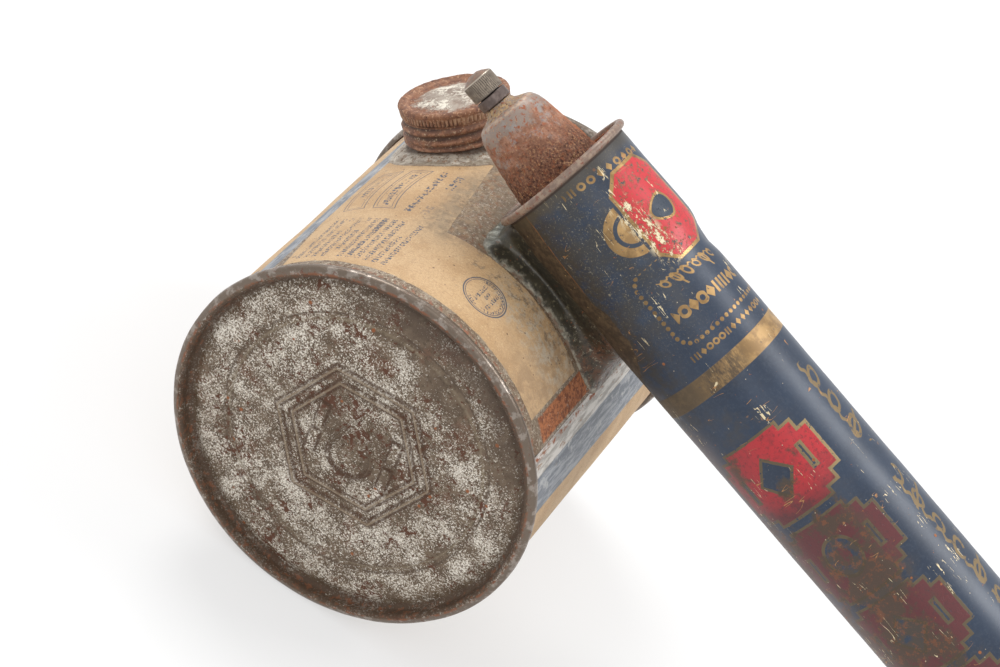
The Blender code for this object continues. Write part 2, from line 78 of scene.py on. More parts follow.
ALONG = Vector(joint("plunger_slide")["axis"]).normalized()
ACROSS = Vector((0.0, 1.0, 0.0))
ABOVE = ALONG.cross(ACROSS)
FILLER_UP = Vector(joint("cap_lift")["axis"]).normalized()
TANK_CENTRE = sum(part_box("tank_body"), Vector()) / 2
DESIGN = Matrix.Translation(TANK_CENTRE) @ Matrix((ALONG, ACROSS, ABOVE)).transposed().to_4x4()


def spots(node):
    """A CAD node's points in the design axes, in millimetres."""
    world = np.array([v.co for v in frame["nodes"][node].data.vertices])
    axes = np.array([ALONG, ACROSS, ABOVE])
    return (world - np.array(TANK_CENTRE)) @ axes.T / MM


def widest(points, y=0.0, z=0.0, about_y=False):
    """The largest distance of some points from an axis along X, or along Y."""
    first = points[:, 0] if about_y else points[:, 1] - y
    return float(np.hypot(first, points[:, 2] - z).max())


def reach_of(points, axis=0):
    """The lowest and highest of some points along an axis."""
    return float(points[:, axis].min()), float(points[:, axis].max())


TANK_R = widest(spots("tank_body"), about_y=True)
SEAM_R = widest(spots("tank_end_left"), about_y=True)
TANK_HALF = float(-spots("tank_end_left")[:, 1].min())
_rod = spots("plunger_rod")
BARREL_Y, BARREL_Z = float(_rod[:, 1].mean()), float(_rod[:, 2].mean())
_barrel = spots("pump_barrel")
BARREL_FRONT, BARREL_REAR = reach_of(_barrel)
BARREL_R = widest(_barrel[_barrel[:, 0] > BARREL_REAR - 1], BARREL_Y, BARREL_Z)
BEAD_R = widest(_barrel, BARREL_Y, BARREL_Z)
BORE_R = BARREL_R - 0.5
FILLER_Y = sum(reach_of(spots("filler_cap"), 1)) / 2
FILLER_TILT = atan2(-FILLER_UP.dot(ALONG), FILLER_UP.dot(ABOVE))

PUMP = DESIGN @ Matrix.Translation(Vector((0.0, BARREL_Y, BARREL_Z)) * MM)
FILLER = DESIGN @ Matrix.Translation((0.0, FILLER_Y * MM, 0.0)) @ Matrix.Rotation(-FILLER_TILT, 4, "Y")


def heights(node):
    """Lowest and highest point of a CAD node along the filler's axis, in millimetres."""
    up = np.array([FILLER_UP.dot(ALONG), 0.0, FILLER_UP.dot(ABOVE)])
    along = spots(node) @ up
    return float(along.min()), float(along.max())


CAP_LOW, CAP_TOP = heights("filler_cap")


# ---------------------------------------------------------------- noise on arrays of points

def _hash(ix, iy, iz, seed):
    n = (ix * 374761393 + iy * 668265263 + iz * 1440662683 + seed * 974634777).astype(np.uint32)
    n = (n ^ (n >> np.uint32(13))) * np.uint32(1274126177)
    return ((n ^ (n >> np.uint32(16))) & np.uint32(0xFFFFFF)) / float(0xFFFFFF)


def value_noise(points, seed):
    """Smooth noise from 0 to 1 at points of shape (..., 3)."""
    low = np.floor(points).astype(np.int64)
    t = points - low
    t = t * t * (3 - 2 * t)
    total = 0.0
    for dx in (0, 1):
        wx = t[..., 0] if dx else 1 - t[..., 0]
        for dy in (0, 1):
            wy = t[..., 1] if dy else 1 - t[..., 1]
            for dz in (0, 1):
                wz = t[..., 2] if dz else 1 - t[..., 2]
                corner = _hash(low[..., 0] + dx, low[..., 1] + dy, low[..., 2] + dz, seed)
                total = total + wx * wy * wz * corner
    return total


def fbm(points, size, octaves, seed):
    """Layered noise from about -1 to 1; size is its largest feature in millimetres."""
    total, weight, share = 0.0, 0.0, 1.0
    for octave in range(octaves):
        scaled = np.asarray(points) / (size / 2 ** octave) + 17.3 * octave
        total = total + share * (value_noise(scaled, seed + octave) * 2 - 1)
        weight += share
        share *= 0.55
    return total / weight


def smoothstep(low, high, x):
    t = np.clip((x - low) / (high - low), 0.0, 1.0)
    return t * t * (3 - 2 * t)


# ---------------------------------------------------------------- turned shapes on a fine grid

def rounded(points, cut, spacing):
    """A path of (radius, height) points with its corners rounded off, resampled at a spacing."""
    points = [np.array(p[:2], float) for p in points]
    path = [points[0]]
    for before, here, after in zip(points, points[1:], points[2:]):
        a, b = before - here, after - here
        la, lb = np.linalg.norm(a), np.linalg.norm(b)
        reach = min(cut, 0.45 * la, 0.45 * lb)
        start, end = here + a / la * reach, here + b / lb * reach
        for t in np.linspace(0, 1, 5):
            path.append((1 - t) ** 2 * start + 2 * t * (1 - t) * here + t ** 2 * end)
    path.append(points[-1])
    path = np.array(path)
    walked = np.concatenate([[0], np.cumsum(np.linalg.norm(np.diff(path, axis=0), axis=1))])
    count = max(2, int(ceil(walked[-1] / spacing)) + 1)
    at = np.linspace(0, walked[-1], count)
    return np.stack([np.interp(at, walked, path[:, 0]), np.interp(at, walked, path[:, 1])], 1)


def normals(path):
    """Unit normals of a path that runs down its outer side, pointing out."""
    along = np.gradient(path, axis=0)
    length = np.linalg.norm(along, axis=1, keepdims=True)
    along = along / np.maximum(length, 1e-9)
    return np.stack([-along[:, 1], along[:, 0]], 1)


# The design directions of angle 0, of a quarter turn and of the height, for each kind of turned piece.
ON_PUMP = ((0, 0, 1), (0, -1, 0), (1, 0, 0))
ON_TANK_LEFT = ((0, 0, 1), (-1, 0, 0), (0, -1, 0))
ON_TANK_RIGHT = ((0, 0, 1), (1, 0, 0), (0, 1, 0))
ON_FILLER = ((1, 0, 0), (0, 1, 0), (0, 0, 1))


def turn(path, steps, axes, shape=None):
    """Points of a path swept round an axis: an array of (rows, steps, 3).

    shape(angle, r, h) gives how far each point moves out along the path's normal.
    """
    angle = np.linspace(0, 2 * pi, steps, endpoint=False)[None, :]
    r = np.repeat(path[:, :1], steps, 1)
    h = np.repeat(path[:, 1:], steps, 1)
    if shape is not None:
        out = shape(np.repeat(angle, len(path), 0), r, h)
        n = normals(path)
        r = np.maximum(r + n[:, :1] * out, 0.0)
        h = h + n[:, 1:] * out
    c, s, up = (np.array(v, float) for v in axes)
    return (r * np.cos(angle))[..., None] * c + (r * np.sin(angle))[..., None] * s + h[..., None] * up


def on_axis(angle, r, h):
    """Places for noise, in the turned frame's own axes."""
    return np.stack([r * np.cos(angle), r * np.sin(angle), h], -1)


def signed_degrees(angle):
    """An angle as degrees from -180 to 180."""
    return (angle * degrees(1) + 180) % 360 - 180


def walls(outside, inside, steps, axes, shape):
    """A shaped outside swept round an axis, and the plain inside that follows it."""
    return np.concatenate([turn(outside, steps, axes, shape), turn(inside, steps, axes)])


def skin(name, grid, loop=True):
    """A closed mesh from rings of points.

    With loop the last ring joins the first, as on a tube; otherwise the end rings each shrink to one point.
    """
    rows, steps = grid.shape[:2]
    here = np.arange(steps)
    there = np.roll(here, -1)
    faces = []
    if loop:
        points = grid.reshape(-1, 3)
        for i in range(rows):
            a, b = i * steps, (i + 1) % rows * steps
            faces.append(np.stack([a + here, b + here, b + there, a + there], 1))
        quads, fans = np.concatenate(faces), []
    else:
        middle = grid[1:-1]
        points = np.concatenate([middle.reshape(-1, 3), grid[0].mean(0)[None], grid[-1].mean(0)[None]])
        count = middle.shape[0]
        for i in range(count - 1):
            a, b = i * steps, (i + 1) * steps
            faces.append(np.stack([a + here, b + here, b + there, a + there], 1))
        quads = np.concatenate(faces)
        top, bottom, last = len(points) - 2, len(points) - 1, (count - 1) * steps
        fans = [(top, j, k) for j, k in zip(here.tolist(), there.tolist())]
        fans += [(last + j, bottom, last + k) for j, k in zip(here.tolist(), there.tolist())]
    mesh = bpy.data.meshes.new(name)
    mesh.from_pydata((points * MM).tolist(), [], quads.tolist() + fans)
    mesh.shade_smooth()
    return mesh


def add(name, mesh, place, body, finish, *nodes):
    """Shows a mesh on a CAD body in place of some CAD nodes."""
    made = bpy.data.objects.new(name, mesh)
    bpy.context.scene.collection.objects.link(made)
    made.matrix_world = place
    made.data.materials.append(finish)
    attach(made, body)
    if nodes:
        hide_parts(*nodes)
    return made


# ---------------------------------------------------------------- shader arithmetic

def tone(code):
    """A screen colour, written as six hex digits, as linear values."""
    parts = [int(code[i:i + 2], 16) / 255 for i in (0, 2, 4)]
    return tuple(p / 12.92 if p <= 0.04045 else ((p + 0.055) / 1.055) ** 2.4 for p in parts) + (1.0,)


def feed(tree, slot, value):
    """Puts a number, a colour's six hex digits, a Num or another node's output into a node's input."""
    if isinstance(value, Num):
        value = value.socket
    if isinstance(value, bpy.types.NodeSocket):
        tree.links.new(value, slot)
    else:
        slot.default_value = tone(value) if isinstance(value, str) else value


def new_node(tree, kind, inputs, **settings):
    """A shader node with its properties set and its inputs fed, given by name or by number."""
    made = tree.nodes.new("ShaderNode" + kind)
    for key, value in settings.items():
        setattr(made, key, value)
    for key, value in inputs.items():
        feed(tree, made.inputs[key], value)
    return made


class Num:
    """A number in a shader: Python arithmetic on it adds Math nodes."""

    def __init__(self, tree, socket):
        self.tree, self.socket = tree, socket

    def math(self, operation, *others):
        made = new_node(self.tree, "Math", dict(enumerate((self, *others))), operation=operation)
        return Num(self.tree, made.outputs[0])

    def __add__(self, other):
        return self.math("ADD", other)

    def __sub__(self, other):
        return self.math("SUBTRACT", other)

    def __mul__(self, other):
        return self.math("MULTIPLY", other)

    def __truediv__(self, other):
        return self.math("DIVIDE", other)

    def __rsub__(self, other):
        return self * -1.0 + other

    def __neg__(self):
        return self * -1.0

    __radd__ = __add__
    __rmul__ = __mul__

    def abs(self):
        return self.math("ABSOLUTE")

    def least(self, other):
        return self.math("MINIMUM", other)

    def most(self, other):
        return self.math("MAXIMUM", other)

    def sine(self):
        return self.math("SINE")

    def share(self, period):
        """How far along its repeating cell of this size, from 0 to 1."""
        return (self / period).math("FRACT")

    def wrap(self, period):
        """The distance from the middle of a repeating cell of this size, signed."""
        return self.share(period) * period - period / 2

    def cell(self, period):
        return (self / period).math("FLOOR")

    def span(self, low, high):
        """0 below low, 1 above high, smooth between; low above high turns it round."""
        ends = (low, high, 0.0, 1.0) if low <= high else (high, low, 1.0, 0.0)
        inputs = dict(zip(("From Min", "From Max", "To Min", "To Max"), ends), Value=self)
        made = new_node(self.tree, "MapRange", inputs, interpolation_type="SMOOTHSTEP")
        return Num(self.tree, made.outputs["Result"])


def length(a, b):
    return (a * a + b * b).math("SQRT")


def inside_box(x, y, half_x, half_y):
    """Signed distance to a rectangle about the origin, below zero inside."""
    return (x.abs() - half_x).most(y.abs() - half_y)


class Finish:
    """A material in layers. Each covers what is under it where its mask is 1; height is in millimetres."""

    def __init__(self, name, colour, roughness, metallic=0.0):
        self.material = bpy.data.materials.new(name)
        self.material.use_nodes = True
        self.tree = self.material.node_tree
        where = self.node("TexCoord", {}).outputs["Object"]
        self.place = self.node("VectorMath", {0: where, "Scale": 1 / MM}, operation="SCALE").outputs[0]
        self.x, self.y, self.z = self.split(self.place)
        self.colour, self.roughness, self.metallic, self.height = colour, roughness, metallic, 0.0

    def node(self, kind, inputs, **settings):
        return new_node(self.tree, kind, inputs, **settings)

    def split(self, vector):
        return [Num(self.tree, socket) for socket in self.node("SeparateXYZ", {0: vector}).outputs]

    def mix(self, mask, under, over):
        """A colour between two, by a mask. Colours are hex digits or sockets."""
        return (
            self.node("Mix", {0: mask, 6: under, 7: over}, data_type="RGBA", clamp_factor=True).outputs[2]
        )

    def scaled(self, size, stretch, seed):
        """The place on the piece in units of a size, moved by a seed."""
        inputs = {0: self.place, 1: [s / size for s in stretch], 2: [seed * 7.31, seed * 3.17, seed * 5.43]}
        return self.node("VectorMath", inputs, operation="MULTIPLY_ADD").outputs[0]

    def noise(self, size, detail, rough, seed, stretch=(1, 1, 1), distort=0.0):
        """Cloudy noise, about 0.5 on average; size is its feature size in millimetres."""
        inputs = {"Scale": 1.0, "Detail": detail, "Roughness": rough, "Distortion": distort,
                  "Vector": self.scaled(size, stretch, seed)}
        return Num(self.tree, self.node("TexNoise", inputs).outputs["Fac"])

    def cells(self, size, seed):
        """Distance from points scattered about a size apart, in that size, and a random value for each."""
        made = self.node("TexVoronoi", {"Scale": 1.0, "Vector": self.scaled(size, (1, 1, 1), seed)})
        return Num(self.tree, made.outputs["Distance"]), self.split(made.outputs["Color"])[0]

    def chance(self, x, y, z):
        """A random value from 0 to 1 for each combination of three numbers."""
        place = self.node("CombineXYZ", {0: x, 1: y, 2: z}).outputs[0]
        return Num(self.tree, self.node("TexWhiteNoise", {"Vector": place}).outputs["Value"])

    def angle(self, side, top):
        """Angle in degrees from the top axis towards the side axis."""
        return side.math("ARCTAN2", top) * (180 / pi)

    def over(self, mask, colour=None, roughness=None, metallic=None, height=None):
        if colour is not None:
            self.colour = self.mix(mask, self.colour, colour)
        if roughness is not None:
            self.roughness = self.roughness + mask * (roughness - self.roughness)
        if metallic is not None:
            self.metallic = self.metallic + mask * (metallic - self.metallic)
        if height is not None:
            self.height = self.height + mask * height

    def patches(self, *rows):
        """Layers over noise: its size, detail, roughness and seed, its span, then the layer."""
        for size, detail, rough, seed, low, high, *layer in rows:
            self.over(self.noise(size, detail, rough, seed).span(low, high), *layer)

    def done(self):
        shader = self.tree.nodes["Principled BSDF"]
        bump = self.node("Bump", {"Height": self.height, "Strength": 1.0, "Distance": MM}).outputs["Normal"]
        for key, value in (("Base Color", self.colour), ("Roughness", self.roughness),
                           ("Metallic", self.metallic), ("Normal", bump)):
            feed(self.tree, shader.inputs[key], value)
        return self.material


# ---------------------------------------------------------------- finishes

def spots_over(f, size, share, seed, radius=0.3):
    """Scattered round spots about a size apart; only a share of the places carry one."""
    distance, chance = f.cells(size, seed)
    return distance.span(radius, radius * 0.6) * chance.span(share, share - 0.03)


def strip(value, low, high, soft=0.12):
    return value.span(low - soft, low + soft) * value.span(high + soft, high - soft)


def panel(a, b, a_low, a_high, b_low, b_high, soft=0.12):
    return strip(a, a_low, a_high, soft) * strip(b, b_low, b_high, soft)


def union(first, *others):
    for other in others:
        first = first.most(other)
    return first


def ring_line(distance, half_width, soft=0.08):
    """A line along the zero of a distance."""
    return distance.abs().span(half_width + soft, half_width - soft)


def small_print(f, across, along, pitch, tall, wide, seed, fill=0.5, gap=6.0):
    """Rows of illegible marks a pitch apart: random few of twelve tiny squares each, in short runs."""
    row, column = across.cell(pitch), (along / wide * 4.0).math("FLOOR")
    down = across.share(pitch) * (pitch / tall * 4.0)
    line = down.math("FLOOR")
    inked = f.chance(column, row * 4.0 + line, seed * 1.7).span(fill + 0.02, fill - 0.02)
    gaps = along.share(wide).span(0.78, 0.7)
    runs = f.chance(along.cell(gap), row, seed * 2.3 + 0.5).span(0.12, 0.16)
    return inked * gaps * runs * down.span(4.0, 3.95)


def tokens(f, across, along, wide, tall, seed):
    """A row of plain marks in a random order: rings, bars and lozenges."""
    half = tall / 2
    x = along.wrap(wide)
    pick = f.chance(along.cell(wide), seed * 1.3, 0.5)
    ring = (length(x, across) - half * 0.68).abs() - half * 0.26
    bar = inside_box(x.abs() - half * 0.42, across, half * 0.22, half * 0.92)
    lozenge = x.abs() * 1.25 + across.abs() - half * 0.98
    mark = (
        ring * pick.span(0.36, 0.34) + bar * strip(pick, 0.36, 0.66, 0.01) + lozenge * pick.span(0.66, 0.68)
    )
    return mark.span(0.06, -0.06) * across.abs().span(half + 0.05, half)


def flourish(f, across, along, pitch, tall, stroke, seed):
    """Leaning loops on a wavy line, with a tall stroke now and then, in the place of handwriting."""
    leaning = along - across * 0.5
    chance = f.chance(leaning.cell(pitch), seed, 0.5)
    height = tall * (0.17 + 0.13 * chance)
    loop = (
        (length(leaning.wrap(pitch) / (pitch * 0.26), (across - tall * 0.02) / height) - 1.0).abs()
        * (pitch * 0.23)
    )
    line = (across - tall * 0.22 + (leaning * (4 * pi / pitch)).sine() * (tall * 0.05)).abs()
    tall_stroke = inside_box(
        (leaning + pitch * 1.02).wrap(pitch * 3.0), across + tall * 0.1, 0.05, tall * 0.4
    )
    return loop.least(line).least(tall_stroke.most(0.0)).span(stroke + 0.1, stroke - 0.1)


def printed_tin():
    """Tan paper-like print with blue-grey small print on tinplate, worn to bare metal and rust."""
    f = Finish("printed_tin", "7c6c59", 0.45, 0.25)
    u = f.angle(-f.x, f.z) * (radians(1) * TANK_R)
    y = f.y
    f.patches(
        (7.0, 5, 0.65, 1, 0.45, 0.65, "988a78", 0.42, 0.3),
        (2.6, 5, 0.75, 2, 0.47, 0.6, "6b5744", 0.6, 0.1),
        (0.8, 4, 0.8, 3, 0.54, 0.62, "b5aa98", 0.5, 0.2),
        (0.7, 3, 0.8, 4, 0.54, 0.62, "59412e", 0.75, 0.0, 0.03),
        (2.0, 4, 0.75, 31, 0.62, 0.68, "7a452a", 0.8, 0.0, 0.03),
    )

    ragged = (f.noise(4.0, 5, 0.7, 5) - 0.5) * 2.2
    u_edge, y_edge = u + ragged * 0.35, y + ragged
    notch = u_edge - (y + 20.0) * 0.117
    filler_away = length(u - 49.6, y - 34.0) + ragged * 0.5
    side = strip(notch, 28.2, 66.8) * strip(y_edge, -49.0, 19.5) * filler_away.span(21.6, 22.0)
    over_top = strip(u_edge, -24.2 , 29.0) * strip(y + ragged * 0.7, -49.2, -20.6)
    back = (u.abs().span(72.8, 73.2) * u.span(-10.0, 10.0) + u.span(-52.4, -52.8)).least(1.0)
    back = back * y_edge.abs().span(50.0, 49.6)
    paper = side.most(over_top).most(back)
    worn = f.noise(5.0, 6, 0.72, 6).span(0.64, 0.69)
    near_notch = panel(u, y, 25.0, 35.5, -23.0, 14.0, 2.5)
    foot = panel(u, y, -24.0, 20.0, -30.0, -19.0, 4.0) * f.noise(3.0, 5, 0.75, 9).span(0.5, 0.62)
    paper = paper * (1.0 - worn * 0.85) * (1.0 - foot * 0.75)

    tan = f.mix(f.noise(14.0, 4, 0.6, 7).span(0.42, 0.62), "c2a27a", "b5936a")
    tan = f.mix(f.noise(0.6, 3, 0.8, 8).span(0.42, 0.7) * 0.45, tan, "94734f")
    tan = f.mix(f.noise(0.45, 2, 0.8, 32).span(0.58, 0.68) * 0.4, tan, "e0cba6")
    tan = f.mix(f.noise(5.0, 5, 0.7, 33).span(0.56, 0.7) * 0.4, tan, "93785a")
    tan = f.mix(
        u.span(4.0, -20.0) * over_top * (0.25 + f.noise(4.0, 5, 0.7, 39).span(0.4, 0.6) * 0.45), tan,
        "8a7055"
    )
    scuffed = (
        panel(u_edge, y_edge, -24.0, 8.0, -36.0, -20.0, 5.0) * f.noise(3.0, 5, 0.75, 34).span(0.46, 0.6)
    )
    tan = f.mix(scuffed * 0.7, tan, "b3a896")
    tan = f.mix(
        spots_over(f, 3.2, 0.4, 11, 0.12).most(spots_over(f, 1.4, 0.10, 12, 0.2)) * 0.8, tan, "5f4430"
    )
    tan = f.mix(near_notch * f.noise(2.2, 5, 0.75, 40).span(0.42, 0.62) * 0.8, tan, "7b6448")
    # Painted shade on the label by the notch, where the cone's shadow falls.
    cone_shade = notch.span(40.0, 28.0) * panel(u, y, 20.0, 44.0, -24.0, 14.0, 7.0)
    tan = f.mix(cone_shade * (0.25 + f.noise(4.0, 5, 0.7, 42).span(0.38, 0.6) * 0.5), tan, "86765f")
    fibres = f.noise(1.4, 2, 0.6, 35, stretch=(0.5, 3.0, 3.0))
    tan = f.mix((fibres - 0.5).abs().span(0.006, 0.002) * 0.5, tan, "6d5138")

    ink = f.noise(2.5, 4, 0.7, 13).span(0.25, 0.45) * 0.95
    # Small rows, a bold row and two rows of large marks; two bowed boxes round a row each; a round seal.
    marks = union(
        small_print(f, u - 34.1, y, 2.55, 1.45, 1.15, 14, 0.52) * panel(u, y, 33.9, 61.0, -46.2, -22.2),
        small_print(f, u - 34.1, y, 2.55, 1.7, 1.5, 15, 0.66) * panel(u, y, 44.2, 46.6, -45.5, -22.0),
        small_print(f, u - 36.2, y, 6.4, 2.2, 2.1, 16, 0.55, 11.0) * panel(u, y, 36.2, 38.6, -16.0, 8.5),
        small_print(f, u - 41.2, y, 6.4, 2.0, 2.0, 17, 0.55, 9.0) * panel(u, y, 41.2, 43.4, -16.5, 9.0),
    )
    box_y = y + 3.3
    bow = box_y * box_y * 0.014
    for middle, seed in ((51.5, 18), (61.0, 19)):
        box = inside_box(u - middle + bow, box_y, 3.3, 12.2)
        run = small_print(f, u - middle + bow + 1.0, y, 4.4, 1.9, 1.7, seed, 0.55, 7.0)
        marks = union(marks, ring_line(box, 0.14), ring_line(box + 1.0, 0.08), run * box.span(-1.4, -1.6))
    seal_u, seal_y = u - 8.2, y + 35.3
    seal_r, round_seal = length(seal_u, seal_y), f.angle(seal_u, seal_y) * 0.09
    round_run = small_print(f, seal_r - 4.75, round_seal, 20.0, 1.15, 0.95, 20, 0.5, 3.0)
    rows = small_print(f, u - 5.3, y, 2.0, 1.2, 1.0, 21, 0.55, 3.0)
    marks = union(
        marks, ring_line(seal_r - 6.6, 0.2), ring_line(seal_r - 6.0, 0.1),
        round_run * strip(seal_r, 4.75, 5.9),
        rows * inside_box(seal_u, seal_y, 2.9, 3.6).span(0.1, 0.0),
    )
    tan = f.mix(marks * ink, tan, "464c5a")
    back_print = (
        small_print(f, u, y, 7.5, 3.2, 2.6, 22, 0.52, 12.0) * u.abs().span(80.0, 81.0)
        * y.abs().span(40.0, 39.5)
    )
    rules = strip(y.abs(), 44.0, 45.2) * u.abs().span(74.0, 75.0)
    tan = f.mix(back_print.most(rules) * ink, tan, "56606f")
    f.over(paper, tan, 0.62, 0.0, 0.03)

    streaks = f.noise(3.0, 5, 0.7, 23, stretch=(1.8, 0.3, 1.8))
    pale = f.mix(streaks.span(0.42, 0.58), "918b83", "c4bfb8")
    pale = f.mix(f.noise(2.5, 5, 0.7, 24, stretch=(1.6, 0.4, 1.6)).span(0.56, 0.66), pale, "8a6a50")
    f.over(strip(u_edge, -40.8, -33.9) * y.abs().span(52.5, 51.5), pale, 0.4, 0.25)
    blue = f.mix(streaks.span(0.42, 0.62), "5a6069", "8d9095")
    blue = f.mix(f.noise(5.0, 4, 0.7, 25).span(0.55, 0.68), blue, "a6a6a5")
    blue_band = (strip(u_edge, 66.8, 72.9) + strip(u_edge, -52.6, -40.6)) * y_edge.abs().span(51.5, 50.8)
    f.over(blue_band * (1.0 - worn * 0.5), blue, 0.45, 0.0, 0.03)

    rust_panel = strip(u_edge, -32.3, -25.4, 0.3) * strip(y_edge, -46.4, 46.0, 0.5)
    orange = f.mix(f.noise(1.3, 5, 0.75, 26).span(0.4, 0.6), "6a3a22", "a3643c")
    orange = f.mix(f.noise(0.9, 4, 0.75, 27).span(0.62, 0.7), orange, "c9a687")
    f.over(rust_panel * f.noise(3.0, 4, 0.65, 28).span(0.28, 0.38), orange, 0.8, 0.0, 0.04)
    f.over(ring_line(u + 33.5, 0.3, 0.15), "261d17", 0.8, 0.0)
    f.over(strip(u, -36.0, -34.2, 0.6) * f.noise(2.0, 4, 0.7, 29).span(0.5, 0.62), "8a4e30", 0.75, 0.0)

    rim = y.abs().span(50.2, 52.0)
    f.over(rim * f.noise(1.6, 5, 0.75, 30).span(0.5, 0.6), "8a5a42", 0.7, 0.0)
    f.over(y.abs().span(53.4, 54.4) * 0.85, "4a3022", 0.8, 0.0)
    soldered = filler_away.span(22.0, 20.5)
    lump = f.mix(f.noise(2.4, 4, 0.7, 36).span(0.42, 0.6), "9a8d7b", "bfb5a4")
    f.over(soldered * f.noise(2.0, 5, 0.7, 37).span(0.35, 0.5) * 0.85, lump, 0.5, 0.2)
    bare = panel(u, y, -24.0, 33.0, -20.5, 22.0, 2.0) * (1.0 - paper)
    f.over(bare * f.noise(2.0, 5, 0.7, 38).span(0.35, 0.6) * 0.65, "66543e", 0.55, 0.1)
    f.over(bare * f.noise(2.6, 5, 0.75, 41).span(0.52, 0.62) * 0.85, "7a5034", 0.7, 0.0)
    f.over(
        bare * notch.span(14.0, 29.0) * f.noise(3.0, 5, 0.75, 43).span(0.42, 0.62) * 0.6, "9c8362", 0.6, 0.0
    )
    return f.done()


def speckled_end():
    """A brown patina broken by fine silvery tin speckle, with a stamped device and a rusty seam."""
    f = Finish("speckled_end", "5b4a39", 0.55, 0.15)
    r = length(f.x, f.z)
    f.over(f.noise(6.0, 4, 0.65, 1).span(0.42, 0.6), "6c5b49", 0.55, 0.15)
    f.over(f.noise(9.0, 4, 0.65, 2).span(0.54, 0.66) * 0.6, "65432f", 0.6, 0.1)
    f.over(f.noise(1.2, 4, 0.75, 12).span(0.54, 0.62) * 0.7, "43351f", 0.65, 0.05)
    cover = f.noise(10.0, 5, 0.65, 3)
    lost = (
        strip(r, 36.6, 39.6, 1.2) * 0.05 + r.span(44.0, 50.5) * 0.05 + r.span(17.0, 8.0) * 0.055
        + f.z.span(24.0, 42.0) * 0.06
    )
    grain = f.noise(0.8, 3, 0.75, 4) + (cover - 0.5) * 0.62 - lost
    f.over(grain.span(0.52, 0.57), "a59a8b", 0.45, 0.25, 0.03)
    finest = f.noise(0.5, 2, 0.7, 5) + (cover - 0.5) * 0.5 - lost
    f.over(finest.span(0.55, 0.59), "ddd6ca", 0.42, 0.25)
    worn_step = f.noise(3.0, 4, 0.7, 18).span(0.3, 0.55)
    f.over(ring_line(r - 39.4, 0.3, 0.35) * worn_step * 0.8, "4b3a2b", 0.65, 0.05)
    f.over(ring_line(r - 37.7, 0.3, 0.3) * worn_step * 0.5, "94866f", 0.5, 0.2)
    rust = f.noise(1.8, 5, 0.75, 6) + (f.noise(10.0, 3, 0.5, 7) - 0.5) * 0.5
    f.over(rust.span(0.57, 0.63), "573422", 0.8, 0.0, -0.03)
    f.over(spots_over(f, 5.0, 0.4, 8, 0.14), "8d5330", 0.8, 0.0)

    # The device's ridges have dark lines along both feet and paler crests. On this end x and z run as on the
    # mesh's own face.
    turned_by = radians(DEVICE_TURN)
    across = -f.x * cos(turned_by) - f.z * sin(turned_by)
    up = f.z * cos(turned_by) - f.x * sin(turned_by)
    hexagonal = (across.abs() * cos(radians(30)) + up.abs() * 0.5).most(up.abs())
    edges = [hexagonal - radius for radius in HEXAGONS]
    bar = inside_box(across.abs() - BAR_ACROSS, up.abs() - BAR_UP, 1.6, 3.7)
    round_foot = length(across, (up + DROP_DOWN).least(0.0)) - DROP_R
    dark_ridge_feet = union(
        *[ring_line(edge.abs() - 0.9, 0.4, 0.3) for edge in edges], ring_line(bar, 0.35, 0.3),
        ring_line(round_foot, 0.9, 0.4) * up.span(-2.5, -3.5),
    )
    f.over(dark_ridge_feet * f.noise(2.0, 4, 0.7, 9).span(0.3, 0.5) * 0.8, "4a3220", 0.7, 0.0)
    f.over(union(*[ring_line(edge, 0.3, 0.2) for edge in edges]) * 0.75, "8f7d67", 0.5, 0.2)

    shade = f.z.span(26.0, 44.0) * r.span(40.0, 45.0) * f.noise(4.0, 5, 0.7, 16).span(0.3, 0.55)
    f.over(
        shade.most(f.z.span(26.0, 40.0) * f.noise(5.0, 5, 0.7, 17).span(0.4, 0.65) * 0.8) * 0.6, "46362a",
        0.7, 0.0
    )
    f.over(strip(r, 48.9, 51.9, 0.7) * f.noise(2.5, 4, 0.7, 10).span(0.2, 0.5) * 0.85, "453222", 0.75, 0.0)
    f.over(strip(r, 49.8, 51.4, 0.5) * f.noise(1.8, 4, 0.7, 15).span(0.52, 0.64) * 0.8, "77492e", 0.75, 0.0)
    seam = r.span(51.9, 52.2)
    f.over(seam, "6d6054", 0.36, 0.45)
    f.over(seam * f.noise(3.0, 4, 0.65, 11).span(0.5, 0.62), "938980", 0.3, 0.65)
    f.over(strip(r, 51.7, 52.4, 0.2) * f.noise(2.2, 4, 0.7, 13).span(0.45, 0.6) * 0.8, "7d4a2d", 0.75, 0.0)
    f.over(seam * f.noise(1.3, 5, 0.75, 14).span(0.59, 0.67), "6b4030", 0.75, 0.0)
    return f.done()


